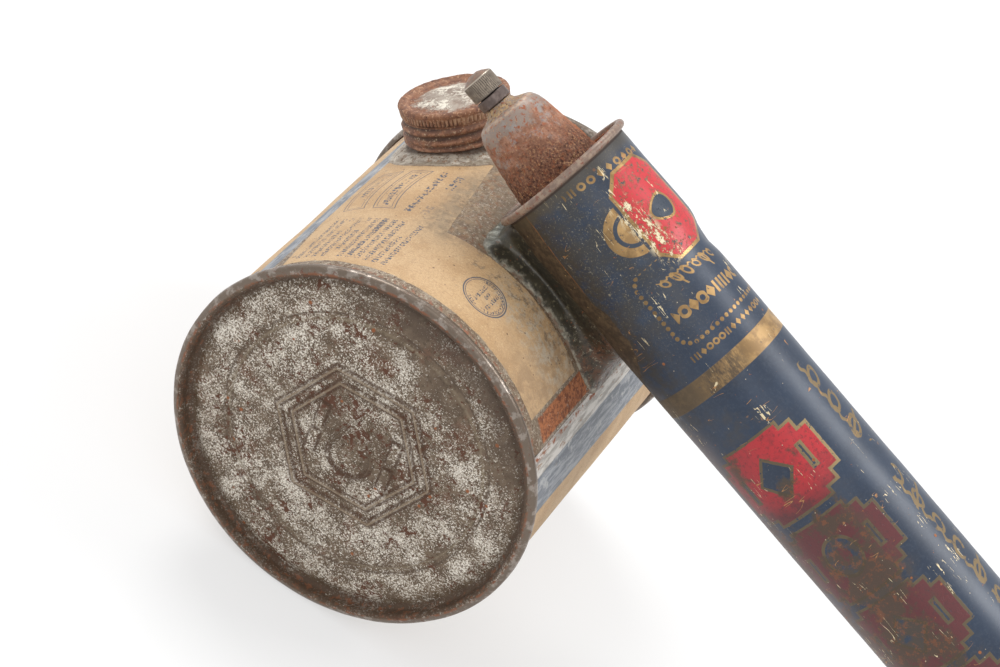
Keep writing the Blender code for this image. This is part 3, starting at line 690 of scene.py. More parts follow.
def navy_print():
    """Semi-gloss navy with gold and red printing, scratched, dusty, and browned towards the tank."""
    f = Finish("navy_print", "1e2c40", 0.38, 0.0)
    x = f.x
    v = f.angle(-f.y, f.z) * (radians(1) * BARREL_R)
    f.over(f.noise(18.0, 4, 0.6, 1).span(0.4, 0.65) * 0.6, "28384e", 0.36)
    f.over(f.noise(1.0, 3, 0.8, 2).span(0.45, 0.7) * 0.35, "3e4958", 0.42)
    dusty = x.span(46.0, 14.0) * v.span(4.0, 24.0)
    f.over(dusty * f.noise(6.0, 5, 0.7, 3).span(0.34, 0.62) * 0.8, "34322f", 0.5)
    f.over(dusty.most(x.span(-8.0, -17.0)) * f.noise(0.55, 3, 0.8, 4).span(0.57, 0.66) * 0.8, "77705f", 0.6)
    film = f.noise(9.0, 5, 0.7, 5).span(0.48, 0.68) * v.abs().span(4.0, 30.0)
    f.over(film * 0.55, "3d3936", 0.45)

    ragged = f.noise(2.2, 5, 0.7, 6) - 0.5
    wear = f.noise(1.4, 5, 0.78, 7)
    gold = f.mix(f.noise(4.0, 4, 0.65, 8).span(0.4, 0.62), "a98859", "8a6d47")
    # Painted shade: the gold turns darker towards the barrel's shaded side.
    gold = f.mix(v.span(12.0, 30.0) * 0.8, gold, "574733")
    red = f.mix(f.noise(1.1, 4, 0.78, 9).span(0.5, 0.66), "b5262e", "842026")
    faded = (
        x.span(80.0, 94.0) * 0.9 + v.span(18.0, 40.0) * 0.45
        + f.noise(7.0, 4, 0.7, 10).span(0.5, 0.65) * 0.25
    )
    red = f.mix(faded.least(0.92), red, "4a2629")

    def print_on(mask, colour, hold=0.66, metallic=0.0, roughness=0.4):
        f.over(mask * wear.span(hold, hold - 0.05), colour, roughness, metallic, 0.02)

    bands = strip(x, 44.0, 50.0).most(strip(x, 239.0, 245.0))
    print_on(bands, gold, 0.68, 0.35, 0.42)
    # Tarnish on the bands, mixed with painted shade on their shaded side; the next layer is painted shade
    # where they turn round the barrel's sides.
    tarnish_and_shade = (
        bands * strip(v, 13.0, 26.0, 4.0)
        * f.noise(1.6, 5, 0.8, 11, stretch=(0.5, 1.4, 1.4)).span(0.36, 0.56)
    )
    f.over(tarnish_and_shade * 0.85, "43372a", 0.6, 0.0)
    f.over(bands * v.abs().span(26.0, 31.0) * 0.85, "5a4a35", 0.6, 0.1)

    # Six stepped medallions in the place of lettering, each with a navy lozenge or ring, outlined in gold.
    pitch, first = 27.4, 65.2
    here = x - first
    local, odd = here.wrap(pitch) + 1.1, (here.cell(pitch) * 0.5).math("FRACT").span(0.2, 0.3)
    tall = v - 27.7
    outer = inside_box(local, tall, 12.0, 9.0).least(inside_box(local, tall, 9.8, 12.6))
    outer = outer.least(inside_box(local, tall, 6.6, 15.8))
    lozenge = (local.abs() * 0.85 + tall.abs()) * 0.76 - 4.4
    disc = length(local * 0.85, tall) - 5.4
    ends = inside_box(local, tall.abs() - 10.6, 4.0, 1.0)
    window = (lozenge * (1.0 - odd) + disc * odd).least(ends)
    shape = outer.most(window * -1.0) + ragged * 0.5
    along_row = panel(x, v, first - 0.9, first + 6 * pitch - 1.0, 0.0, 60.0)
    outline = f.mix((v.span(10.0, 24.0) + x.span(84.0, 98.0)).least(1.0), "9a845c", "5c4f3b")
    print_on(shape.span(0.8, 0.65) * along_row, outline, 0.63, 0.2, 0.5)
    print_on(shape.span(-0.05, -0.3) * along_row, red, 0.7, 0.0, 0.46)
    print_on((length(local * 0.85, tall) - 2.4 + ragged * 0.3).span(0.1, -0.1) * along_row * odd, red, 0.66)
    browned = f.noise(10.0, 5, 0.7, 12) + x.span(80.0, 115.0) * 0.12 + v.span(14.0, 26.0) * 0.07
    stain = f.mix(f.noise(2.2, 5, 0.75, 13).span(0.5, 0.62), "463a2d", "6e4429")
    f.over(browned.span(0.60, 0.70) * along_row * v.span(13.0, 20.0) * 0.85, stain, 0.55)
    f.over(v.span(34.0, 44.0) * x.span(50.0, 62.0) * 0.5, "6a5a58", 0.5)

    # A flowing scroll in the place of script.
    script = (
        flourish(f, v + 1.0, x, 8.6, 9.8, 0.52, 14) * strip(x, 59.0, 224.0)
        * f.noise(11.0, 1, 0.5, 33).span(0.36, 0.38)
    )
    print_on(script, "796544", 0.62, 0.2, 0.5)

    # The device near the mouth: an eight-sided red panel round a navy drop, and a gold half-disc beside it.
    px, pv = x - 3.0, v - 3.4
    clipped = (px.abs() + pv.abs() - 18.4) * 0.7
    tablet = inside_box(px, pv, 13.8, 8.8).most(clipped) + ragged * 0.35
    print_on(tablet.span(0.95, 0.8), gold, 0.64, 0.65, 0.35)
    print_on(tablet.span(-0.05, -0.2), f.mix(wear.span(0.48, 0.6), "c02c34", "98242a"), 0.61)
    taper = (pv + 2.0).most(0.0) * 0.34
    drop = (length(px - 1.0, pv.least(0.0) + (pv.most(0.0)) * 0.55) + taper - 3.9) + ragged * 0.25
    print_on(drop.span(0.6, 0.45), gold, 0.66, 0.7, 0.35)
    print_on(drop.span(-0.1, -0.25), "263242", 0.7)
    from_fan = length(x - 3.0, v - 13.6)
    half_disc = (from_fan - 7.4).most(13.9 - v) + ragged * 0.3
    print_on(half_disc.span(0.1, -0.05), gold, 0.64, 0.6, 0.38)
    print_on(ring_line(from_fan - 4.4, 0.55, 0.1) * v.span(13.8, 14.0), "263242", 0.7)

    # A dotted border with rows of marks in it, and a row of marks on each side of it all.
    round_by = 4.58
    qx, qv = (x - 24.6).abs() - 7.2, (v - 6.2).abs() - 12.6
    border = length(qx.most(0.0), qv.most(0.0)) + qx.most(qv).least(0.0) - round_by
    at_corner = qx.span(-0.05, 0.05) * qv.span(-0.05, 0.05)
    along_side = (x - 24.6).wrap(1.8) * qv.span(-0.05, 0.05) + (v - 6.2).wrap(1.8) * qv.span(0.05, -0.05)
    round_corner = (f.angle(qx, qv) * (radians(1) * round_by)).wrap(1.8)
    step = along_side * (1.0 - at_corner) + round_corner * at_corner
    print_on(
        length(border, step).span(0.70, 0.5) * tablet.span(0.9, 1.1) * x.span(13.0, 13.4), gold, 0.62, 0.6,
        0.4
    )
    tilt = v * 0.06
    row_one = flourish(f, 21.8 - x - tilt * 2.0, v, 3.6, 5.6, 0.24, 12) * strip(v, -2.5, 18.2)
    row_two = tokens(f, x - 29.4 + tilt, v, 3.1, 3.9, 11) * strip(v, -5.0, 20.4)
    foot_row = tokens(f, x - 39.9 + tilt * 0.3, v, 2.1, 2.1, 13) * strip(v, -6.0, 24.0)
    head_row = tokens(f, x + 12.4 + tilt * 1.6, v, 3.0, 2.5, 15) * strip(v, -6.0, 22.0)
    print_on(union(row_one, row_two, foot_row, head_row), gold, 0.66, 0.55, 0.4)

    # Wear: a battered patch, scratches, chips, specks of dust, rust.
    chips = f.noise(1.3, 4, 0.8, 19, stretch=(0.7, 1.3, 1.3)) + (f.noise(5.0, 2, 0.6, 31) - 0.5) * 0.5
    battered = panel(x, v + (x - 6.0) * 0.12, -5.0, 17.0, 8.0, 13.6, 1.6)
    f.over(battered * chips.span(0.50, 0.54), "8f7650", 0.45, 0.3)
    f.over(battered * chips.span(0.55, 0.58), "e6d9b8", 0.4, 0.3)
    lines = f.noise(3.2, 1, 0.5, 17, stretch=(0.20, 1.6, 1.6), distort=0.2)
    broken = f.noise(1.3, 2, 0.6, 20).span(0.46, 0.5) * f.noise(9.0, 3, 0.6, 18).span(0.58, 0.63)
    f.over((lines - 0.5).abs().span(0.014, 0.007) * broken, "dccba5", 0.45, 0.3)
    crossing = f.noise(3.6, 1, 0.5, 27, stretch=(1.3, 0.3, 0.3), distort=0.5)
    f.over(
        (crossing - 0.5).abs().span(0.010, 0.005) * f.noise(8.0, 3, 0.6, 28).span(0.6, 0.65), "a8794a",
        0.5, 0.1
    )
    f.over(spots_over(f, 1.5, 0.10, 20, 0.12), "b9aa92", 0.5)
    f.over(spots_over(f, 3.4, 0.10, 21, 0.16) + f.noise(1.5, 4, 0.75, 22).span(0.68, 0.72), "94592f", 0.7)
    f.over(spots_over(f, 0.8, 0.14, 23, 0.2) * dusty, "8b8478", 0.6)

    # Bare brown metal beside the saddle, with a thin orange edge, and the rolled mouth.
    along_edge = (x + 18.6) * 0.085 + 34.2 + (x - 28.0).most(0.0) * 0.55 - strip(x, 14.0, 34.0, 3.0) * 2.2
    bare = v.abs() - along_edge + ragged * (0.8 + x.span(10.0, 20.0) * 2.6)
    reach = x.span(58.0, 44.0)
    strip_mask = bare.span(-0.1, 0.1) * reach
    brown = f.mix(f.noise(2.0, 5, 0.7, 24).span(0.4, 0.62), "3b2e20", "574632")
    brown = f.mix(spots_over(f, 1.3, 0.2, 25, 0.2), brown, "a58a5e")
    f.over(strip_mask, brown, 0.55, 0.1)
    edge_line = ring_line(bare, 0.13, 0.12) * x.span(12.0, 4.0) * f.noise(2.2, 3, 0.6, 26).span(0.38, 0.48)
    f.over(edge_line * 0.85, "96623a", 0.5, 0.3)
    f.over(
        v.abs().span(24.0, 36.0) * x.span(70.0, 30.0) * f.noise(2.5, 5, 0.7, 32).span(0.36, 0.6) * 0.75
        * (1.0 - strip_mask), "383023", 0.55
    )
    f.over((x + ragged * 3.0).span(-12.5, -16.0) * 0.6, "4c4333", 0.5)
    mouth = (x + ragged * 0.5).span(-17.3, -17.7)
    rim = f.mix(f.noise(2.6, 5, 0.7, 29).span(0.42, 0.6), "7b675b", "94806f")
    rim = f.mix(f.noise(1.2, 4, 0.75, 30).span(0.54, 0.64), rim, "7c4a39")
    f.over(mouth, rim, 0.45, 0.2)
    f.over(strip(x, -17.7, -17.0, 0.2) * 0.8, "33231a", 0.8, 0.0)
    return f.done()


def rusted_cap():
    """Orange-brown rust, paler on the knurls, with grey metal and white bloom left on the crown."""
    f = Finish("rusted_cap", "865b41", 0.72, 0.0)
    r, h = length(f.x, f.y), f.z
    low, top = CAP_LOW, CAP_TOP
    f.patches(
        (2.6, 5, 0.75, 1, 0.42, 0.6, "6a4637", 0.75),
        (0.9, 4, 0.78, 2, 0.54, 0.64, "b28d70", 0.8),
        (0.7, 4, 0.75, 3, 0.58, 0.66, "40291e", 0.85),
    )
    band = strip(h, top - 4.3, top - 1.9, 0.25)
    f.over(band * r.span(15.55, 15.25) * 0.9, "3a2519", 0.9)
    f.over(band * r.span(15.4, 15.7) * f.noise(1.4, 3, 0.7, 4).span(0.35, 0.6), "9d7d62", 0.7)
    skirt = h.span(top - 4.5, top - 4.9)
    f.over(skirt * f.noise(3.0, 5, 0.7, 5).span(0.4, 0.6), "6b4a3a", 0.65, 0.05)
    f.over(skirt * r.span(15.5, 15.0) * 0.8, "3a2a23", 0.75)
    f.over(skirt * r.span(15.45, 15.8) * f.noise(2.0, 4, 0.7, 12).span(0.45, 0.6) * 0.7, "a3765a", 0.65)
    f.over(skirt * f.noise(1.0, 4, 0.75, 6).span(0.58, 0.66), "b09a80", 0.7)
    crown = r.span(13.2, 12.6) * h.span(top - 2.2, top - 1.9)
    grey = f.mix(f.noise(5.0, 5, 0.65, 7).span(0.4, 0.62), "7f6f62", "a3988b")
    edge = r + (f.noise(4.5, 5, 0.8, 8) - 0.5) * 11.0
    f.over(crown * edge.span(11.8, 9.0) * 0.9, grey, 0.5, 0.2)
    white = f.noise(1.0, 5, 0.8, 9) + (f.noise(6.0, 2, 0.5, 10) - 0.5) * 0.7
    f.over(crown * white.span(0.50, 0.60) * edge.span(11.0, 8.5), "d9d1c2", 0.65, 0.0, 0.04)
    f.over(
        crown * f.noise(1.4, 5, 0.78, 11).span(0.56, 0.64) * edge.span(6.0, 11.0), "85492f", 0.8, 0.0, 0.05
    )
    f.over(strip(r, 12.9, 13.6, 0.3) * h.span(top - 2.2, top - 1.9) * 0.2, "b98f72", 0.7)
    # Painted shade along the bottom of the cap's lip.
    f.over(h.span(low + 0.35, low + 0.1) * 0.8, "2a1a12", 0.9)
    return f.done()


def rusted_cone():
    """Grey-brown metal at the shoulder turning to deep crumbling rust at the mouth."""
    f = Finish("rusted_cone", "81563f", 0.6, 0.1)
    h = f.x
    around = f.angle(-f.y, f.z)
    f.patches(
        (3.2, 5, 0.75, 1, 0.44, 0.6, "9c715a", 0.6, 0.1),
        (1.0, 4, 0.8, 2, 0.54, 0.64, "653a2a", 0.75),
    )
    worn = h.span(-30.0, -39.5) + (f.noise(5.0, 5, 0.7, 3) - 0.5) * 2.2
    f.over(worn.span(0.35, 0.8) * 0.85, "8b8077", 0.45, 0.35)
    blue = f.noise(5.0, 5, 0.7, 4).span(0.52, 0.64) * strip(h, -40.5, -26.0, 3.0)
    f.over(blue * 0.65, "92918f", 0.42, 0.25)
    f.patches(
        (1.3, 4, 0.78, 5, 0.54, 0.62, "94563a", 0.75),
        (0.7, 3, 0.8, 11, 0.6, 0.68, "b58f6c", 0.75),
    )
    pits = (h + (f.noise(7.0, 4, 0.65, 6) - 0.5) * 14.0).span(-33.0, -22.0)
    f.over(pits * 0.75, "6a4230", 0.85, 0.0)
    crumbs = f.noise(0.7, 3, 0.8, 7)
    f.over(pits * crumbs.span(0.54, 0.62), "b58a62", 0.8, 0.0, 0.14)
    f.over(pits * f.noise(1.4, 3, 0.75, 12).span(0.54, 0.62) * 0.8, "8f5233", 0.8, 0.0)
    f.over(pits * crumbs.span(0.45, 0.39) * 0.85, "33201a", 0.9, 0.0, -0.14)
    f.over(
        strip(around, -130.0, -20.0, 12.0) * h.span(-38.0, -33.0)
        * f.noise(2.5, 4, 0.7, 8).span(0.35, 0.55) * 0.8, "a8602f", 0.75
    )
    f.over(
        strip(h, -41.0, -40.1, 0.3) * f.noise(1.5, 4, 0.7, 13).span(0.4, 0.55) * 0.7, "b79c84", 0.55, 0.2
    )
    neck = h.span(SHOULDER, SHOULDER - 0.6)
    f.over(neck * f.noise(1.2, 4, 0.7, 9).span(0.4, 0.58), "a88a64", 0.7, 0.0, 0.1)
    f.over(neck * f.noise(0.9, 4, 0.7, 10).span(0.55, 0.64), "5a3323", 0.8, 0.0, -0.1)
    return f.done()


def solder_tin():
    """Olive tin hollowed between tank and barrel, darkened partly by its own colour and partly by painted
    shade in the hollow, with a bright line of solder along its foot.
    """
    # The dark olive base is partly the tin's own colour and partly painted shade and dark reflection in the
    # hollow.
    f = Finish("solder_tin", "332f26", 0.34, 0.15)
    away = length(f.x, f.z)
    jagged = f.noise(2.4, 4, 0.7, 1) - 0.5
    backward = f.x + jagged * 8.0
    f.over(f.noise(5.0, 4, 0.6, 2).span(0.42, 0.62) * 0.7, "453f31", 0.34, 0.2)
    f.over(f.noise(1.4, 4, 0.75, 3).span(0.56, 0.66), "6b6450", 0.4, 0.2)
    rise = away - 52.0
    f.over(backward.span(10.0, 18.0) * rise.span(1.0, 3.0) * 0.7, "3f3528", 0.4, 0.15)
    f.over(backward.span(16.0, 24.0) * f.noise(2.2, 5, 0.75, 7).span(0.4, 0.6), "5b3c28", 0.65, 0.05)
    f.over(backward.span(6.0, 14.0) * f.noise(1.5, 5, 0.75, 8).span(0.52, 0.62), "2a221a", 0.6, 0.05)
    f.over(backward.span(8.0, 16.0) * f.noise(1.1, 4, 0.75, 9).span(0.58, 0.66), "8d8674", 0.4, 0.3)
    f.over(
        (rise + jagged * 2.2).span(1.1, 0.5) * f.noise(3.0, 4, 0.7, 5).span(0.35, 0.6), "8c8676", 0.5, 0.2
    )
    f.over(
        (rise + jagged * 1.6).span(0.7, 0.2) * f.noise(2.5, 3, 0.6, 4).span(0.4, 0.55), "6a5442", 0.6, 0.1
    )
    # A lighter front corner: solder, with a painted highlight on it.
    corner = (f.x + jagged * 3.0).span(-14.5, -18.5) * (rise + jagged * 1.5).span(4.5, 2.0)
    f.over(corner * 0.7, "5f6156", 0.3, 0.35)
    f.over(f.noise(1.1, 5, 0.75, 6).span(0.62, 0.68), "7a4a2c", 0.7, 0.0)
    return f.done()


def neck_tin():
    """Lumpy off-white solder round the filler's neck, with dark patches, and painted shade on the neck and
    the solder next to it, under the cap.
    """
    f = Finish("neck_tin", "94887a", 0.5, 0.25)
    f.patches(
        (2.2, 5, 0.7, 1, 0.42, 0.58, "bdb3a4", 0.45, 0.2, 0.05),
        (1.0, 4, 0.75, 2, 0.54, 0.62, "8a6a50", 0.75, 0.0),
        (2.4, 4, 0.7, 3, 0.56, 0.66, "6b5542", 0.7, 0.1),
        (0.9, 3, 0.75, 4, 0.6, 0.68, "d6cec0", 0.4, 0.3),
    )
    away = length(f.x, f.y)
    # Painted shade under the cap's lip, on the neck and the solder next to it.
    f.over(away.span(17.0, 15.2) * 0.8, "4a3426", 0.8, 0.0)
    return f.done()


def tip_brass():
    """Dark, dirty brass: a finely knurled tip with a painted highlight along its front edge, and a smooth
    collar behind it.
    """
    f = Finish("tip_brass", "5f564e", 0.42, 0.45)
    h, r = f.x, length(f.y, f.z)
    f.over(f.noise(1.6, 4, 0.7, 1).span(0.45, 0.6), "766b60", 0.42, 0.4)
    knurl = strip(h, KNURL_FRONT, KNURL_BACK)
    f.over(knurl * r.span(4.5, 4.6) * 0.8, "a0927f", 0.38, 0.5)
    f.over(knurl * f.noise(0.6, 3, 0.8, 5).span(0.55, 0.65), "463b32", 0.6, 0.2)
    dome = h.span(-52.2, -52.5)
    f.over(dome * 0.85, "7b6658", 0.5, 0.25)
    f.over(dome * f.noise(1.2, 4, 0.75, 3).span(0.5, 0.6), "8d6b58", 0.6, 0.1)
    f.over(dome * f.noise(0.8, 4, 0.75, 2).span(0.58, 0.66), "4c3a30", 0.6, 0.2)
    # Painted highlight along the tip's front edge.
    f.over(strip(h, -52.45, -52.1, 0.08) * r.span(4.3, 4.45) * 0.8, "c2b8a8", 0.3, 0.7)
    collar = strip(h, -47.0, -43.9)
    f.over(collar, "574a45", 0.4, 0.35)
    f.over(collar * f.noise(1.5, 4, 0.7, 4).span(0.5, 0.62) * 0.7, "70625c", 0.4, 0.35)
    f.over(strip(h, -47.3, -46.8, 0.1) * 0.8, "2b221d", 0.7, 0.1)
    f.over(h.span(-43.9, -43.7), "8b7350", 0.7, 0.1)
    return f.done()


def grained(name, light, dark, roughness, size=2.0):
    """Wood, its grain running along the barrel."""
    f = Finish(name, light, roughness)
    f.over(
        f.noise(size, 5, 0.7, 1, stretch=(0.08, 1.0, 1.0), distort=0.4).span(0.42, 0.62), dark,
        roughness + 0.05
    )
    f.over(
        f.noise(size * 0.25, 3, 0.7, 3, stretch=(0.06, 1.0, 1.0)).span(0.56, 0.66), "3a2415",
        roughness + 0.1, 0.0, -0.04
    )
    f.over(f.noise(9.0, 4, 0.6, 2).span(0.5, 0.7) * 0.5, "3a2415", roughness + 0.1)
    return f.done()


def mottled(name, colour, other, roughness, metallic=0.0, size=3.0, spots_colour="4a3222"):
    """A plain material with cloudy patches and small dark spots."""
    f = Finish(name, colour, roughness, metallic)
    f.over(f.noise(size, 5, 0.65, 1).span(0.42, 0.62), other, roughness + 0.06, metallic)
    f.over(f.noise(size * 0.4, 4, 0.7, 2).span(0.6, 0.68) * 0.8, spots_colour, roughness + 0.2, 0.0, -0.02)
    return f.done()


LITHO, END, NAVY = printed_tin(), speckled_end(), navy_print()
CAP_RUST, CONE_RUST = rusted_cap(), rusted_cone()
SADDLE_TIN, NECK_TIN, TIP_BRASS = solder_tin(), neck_tin(), tip_brass()
STEEL = mottled("worn_steel", "8d8a84", "77726a", 0.34, 0.9)
ROD_STEEL = mottled("rod_steel", "8a867f", "6f685f", 0.3, 0.9, 6.0, "6b4a35")
BRASS = mottled("valve_brass", "7d6a45", "5f5238", 0.4, 0.8)
WOOD = grained("knob_wood", "8a5530", "6b3d20", 0.42)
BARE_WOOD = grained("guide_wood", "b08a5c", "94704a", 0.6)
CORK = mottled("cork_sheet", "a77f55", "8a6542", 0.9, 0.0, 1.2)
LEATHER = mottled("cup_leather", "5a3a22", "46301f", 0.6, 0.0, 2.0, "2c1c12")
FELT = mottled("oiled_felt", "6f675c", "5a5147", 0.95, 0.0, 0.8)
FERRULE = mottled("ferrule_tin", "857867", "6b5a49", 0.4, 0.6, 3.0, "7a4a2c")


# ---------------------------------------------------------------- tank

LAP = -37.2    # degrees, where the wall's sheet laps over itself


def tank_dents(angle, r, h):
    """Soft waves all over, a dent at the upper left edge, and the lapped side seam."""
    y = -h
    round_by = signed_degrees(angle)
    p = on_axis(angle, TANK_R, h)
    out = 0.2 * fbm(p, 34.0, 3, 3) + 0.05 * fbm(p, 7.0, 3, 4)
    out -= 0.7 * np.exp(-(((round_by - 99) / 9) ** 2 + ((y + 8) / 16) ** 2))
    lap = round_by - LAP
    fade = 0.4 * smoothstep(0.5, 5.0, lap) + 0.6 * smoothstep(12.0, 22.0, lap)
    out += 0.45 * smoothstep(0.0, 0.35, lap) * (1 - fade)
    return out * smoothstep(0.0, 3.0, TANK_HALF - 4 - np.abs(y))


def open_filler_hole(mesh):
    """Cuts the hole under the filler neck through both sides of the tank wall."""
    work = bmesh.new()
    work.from_mesh(mesh)
    tilt_c, tilt_s, reach = cos(FILLER_TILT), sin(FILLER_TILT), NECK_R - 1.2

    def across(co):
        x, y, z = co / MM
        return Vector((x * tilt_c + z * tilt_s, y - FILLER_Y, -x * tilt_s + z * tilt_c))

    gone = [f for f in work.faces if all(
        across(v.co).z > 0 and hypot(across(v.co).x, across(v.co).y) < reach for v in f.verts)]
    bmesh.ops.delete(work, geom=gone, context="FACES")
    edges = [e for e in work.edges if e.is_boundary]
    for v in {v for e in edges for v in e.verts}:
        flat = across(v.co)
        grow = reach / max(hypot(flat.x, flat.y), 1e-6)
        x_on, y_on = flat.x * grow, flat.y * grow
        away = sqrt(v.co.x ** 2 + v.co.z ** 2) / MM
        z_on = sqrt(away ** 2 - x_on ** 2)
        v.co = Vector((x_on * tilt_c - z_on * tilt_s, y_on + FILLER_Y, x_on * tilt_s + z_on * tilt_c)) * MM
    bmesh.ops.bridge_loops(work, edges=edges)
    work.to_mesh(mesh)
    work.free()
    mesh.shade_smooth()


def make_tank_wall():
    half = TANK_HALF - 1.0
    outer = turn(rounded([(TANK_R, half), (TANK_R, -half)], 1, 1.2), 600, ON_TANK_LEFT, tank_dents)
    inner = turn(rounded([(TANK_R - 0.4, -half), (TANK_R - 0.4, half)], 1, 5.0), 600, ON_TANK_LEFT)
    mesh = skin("tank_wall", np.concatenate([outer, inner]))
    open_filler_hole(mesh)
    add("tank_wall", mesh, DESIGN, BODY, LITHO, "tank_body")


def end_profile():
    """The outside of an end, from its middle to the seam's outer leg, then the hidden inside."""
    face, leg_out = TANK_HALF - 3.2, TANK_R - 0.7
    leg_in = leg_out - 0.6
    middle = [(0.0, face + 0.5), (31.0, face + 0.5)]
    front = [
        (31.0, face + 0.5), (36.4, face + 0.55), (37.1, face + 0.35), (37.9, face - 0.25),
        (39.0, face - 0.3),
        (40.2, face - 0.05), (46.5, face), (47.6, face - 0.2), (48.6, face - 0.75), (49.6, face - 0.75),
        (leg_in - 0.25, face + 0.1), (leg_in, TANK_HALF - 0.7), (leg_in + 0.35, TANK_HALF - 0.1),
        (leg_in + 0.9, TANK_HALF), (SEAM_R - 1.3, TANK_HALF - 0.15), (SEAM_R - 0.15, TANK_HALF - 0.9),
        (SEAM_R, TANK_HALF - 2.2), (SEAM_R - 0.5, TANK_HALF - 3.1), (TANK_R + 0.2, TANK_HALF - 3.35),
    ]
    back = [
        (TANK_R + 0.2, TANK_HALF - 0.8), (leg_out, TANK_HALF - 0.8), (leg_out, face - 0.5),
        (leg_out - 1.4, face - 1.2), (47.6, face - 1.2), (46.6, face - 0.5), (37.6, face - 0.7),
        (36.0, face + 0.05), (0.0, face + 0.05),
    ]
    return (
        np.concatenate([rounded(middle, 0.1, 0.34), rounded(front, 0.45, 0.4)[1:]]), rounded(back, 0.5, 2.5)
    )


def hexagon(x, y, radius):
    a = np.abs(x) * cos(radians(30)) + np.abs(y) * 0.5
    return np.maximum(a, np.abs(y)) - radius


def droplet(x, y, radius):
    """A drop with its point up: a circle whose upper half narrows to a tip."""
    up = np.clip(y / (2.1 * radius), 0.0, 1.0)
    width = radius * np.sqrt(np.clip(1 - up, 0, 1)) * (1 - up ** 1.5 * 0.45)
    body = np.hypot(x, np.minimum(y, 0.0)) - radius
    return np.where(y > 0, np.maximum(np.abs(x) - width, y - 2.1 * radius), body)


def ridge(distance, width):
    return np.exp(-(distance / width) ** 2)


def stamped(angle, r, h):
    """The raised device in the middle of the end: two hexagons, a droplet and four bars."""
    turned_by = radians(DEVICE_TURN)
    x, y = r * np.sin(angle - turned_by), r * np.cos(angle - turned_by)
    outline = 1.2 * ridge(hexagon(x, y, HEXAGONS[0]), 0.5) + 0.95 * ridge(hexagon(x, y, HEXAGONS[1]), 0.42)
    drop = 1.05 * ridge(droplet(x, y + DROP_DOWN, DROP_R), 0.5)
    drop += 0.5 * smoothstep(0.4, -0.5, droplet(x, y + DROP_DOWN + 0.2, 3.6))
    bar = np.maximum(np.abs(np.abs(x) - BAR_ACROSS) - 1.5, np.abs(np.abs(y) - BAR_UP) - 3.6)
    p = on_axis(angle, r, h)
    flat = smoothstep(TANK_R - 3, TANK_R - 6, r)
    waves = (
        (0.09 * fbm(p, 2.6, 3, 11) + 0.25 * fbm(p, 30.0, 2, 12)) * flat
        + 0.10 * fbm(p, 9.0, 3, 13) * (1 - flat)
    )
    return (outline + drop + 0.85 * smoothstep(0.35, -0.35, bar)) * (r < 30) + waves


def make_tank_ends():
    for name, axes, node in (
        ("end_left", ON_TANK_LEFT, "tank_end_left"), ("end_right", ON_TANK_RIGHT, "tank_end_right")
    ):
        grid = walls(*end_profile(), 520, axes, stamped)
        add(f"tank_{name}", skin(name, grid, loop=False), DESIGN, BODY, END, node)


# ---------------------------------------------------------------- filler

NECK_R, PITCH = 14.0, 3.0
THREAD_LOW, THREAD_HIGH = CAP_LOW + 1.5, CAP_TOP - 4.3
CREST_TURN = 62.0    # degrees; puts two crests of the thread on the side that faces the camera


def thread(angle, h):
    """The screw thread, 0 at a root and 1 at a crest."""
    return 0.5 + 0.5 * np.cos(2 * pi * (h - CAP_TOP + 5.9) / PITCH - angle - radians(CREST_TURN))


def cap_shape(angle, r, h):
    """Knurls under the rim, thread ridges on the skirt, and the battered surface of rusty sheet."""
    p = on_axis(angle, r, h)
    skirt = (
        smoothstep(THREAD_HIGH + 0.1, THREAD_HIGH - 0.5, h) * smoothstep(CAP_LOW + 0.9, CAP_LOW + 1.7, h)
    )
    out = (thread(angle, h) - 0.5) * 0.95 * skirt * (r > NECK_R + 0.6)
    band = (
        smoothstep(THREAD_HIGH + 0.2, THREAD_HIGH + 0.6, h) * smoothstep(CAP_TOP - 1.7, CAP_TOP - 2.3, h)
        * (r > 15.2)
    )
    worn = smoothstep(-0.75, 0.1, fbm(p, 7.0, 2, 23))
    out = out + 0.34 * band * worn * np.abs(np.cos(angle * 42)) ** 0.8
    lumps = 0.12 * fbm(p, 1.3, 3, 21) + 0.2 * fbm(p, 4.0, 2, 24)
    return out + lumps * (1 - 0.5 * band) + 0.25 * fbm(p, 15.0, 2, 22)


def make_cap():
    top = CAP_TOP - 0.15
    outer = [
        (0.0, top - 0.1), (5.0, top - 0.2), (9.0, top - 0.75), (11.2, top - 1.25), (12.4, top - 1.2),
        (13.5, top - 0.5),
        (14.5, top), (15.2, top - 0.1), (15.75, top - 0.55), (15.9, top - 1.15), (15.65, top - 1.65),
        (15.4, top - 2.1), (15.3, THREAD_HIGH + 0.35), (15.45, THREAD_HIGH - 0.1), (15.45, CAP_LOW + 1.7),
        (15.75, CAP_LOW + 1.05), (15.9, CAP_LOW + 0.6), (15.6, CAP_LOW + 0.15), (15.1, CAP_LOW + 0.1),
    ]
    inner = [(14.93, CAP_LOW + 0.4), (14.93, CAP_TOP - 1.9), (14.3, CAP_TOP - 1.6), (0.0, CAP_TOP - 1.6)]
    grid = walls(rounded(outer, 0.35, 0.3), rounded(inner, 0.3, 1.5), 672, ON_FILLER, cap_shape)
    add("screw_cap", skin("screw_cap", grid, loop=False), FILLER, "cap", CAP_RUST, "filler_cap")


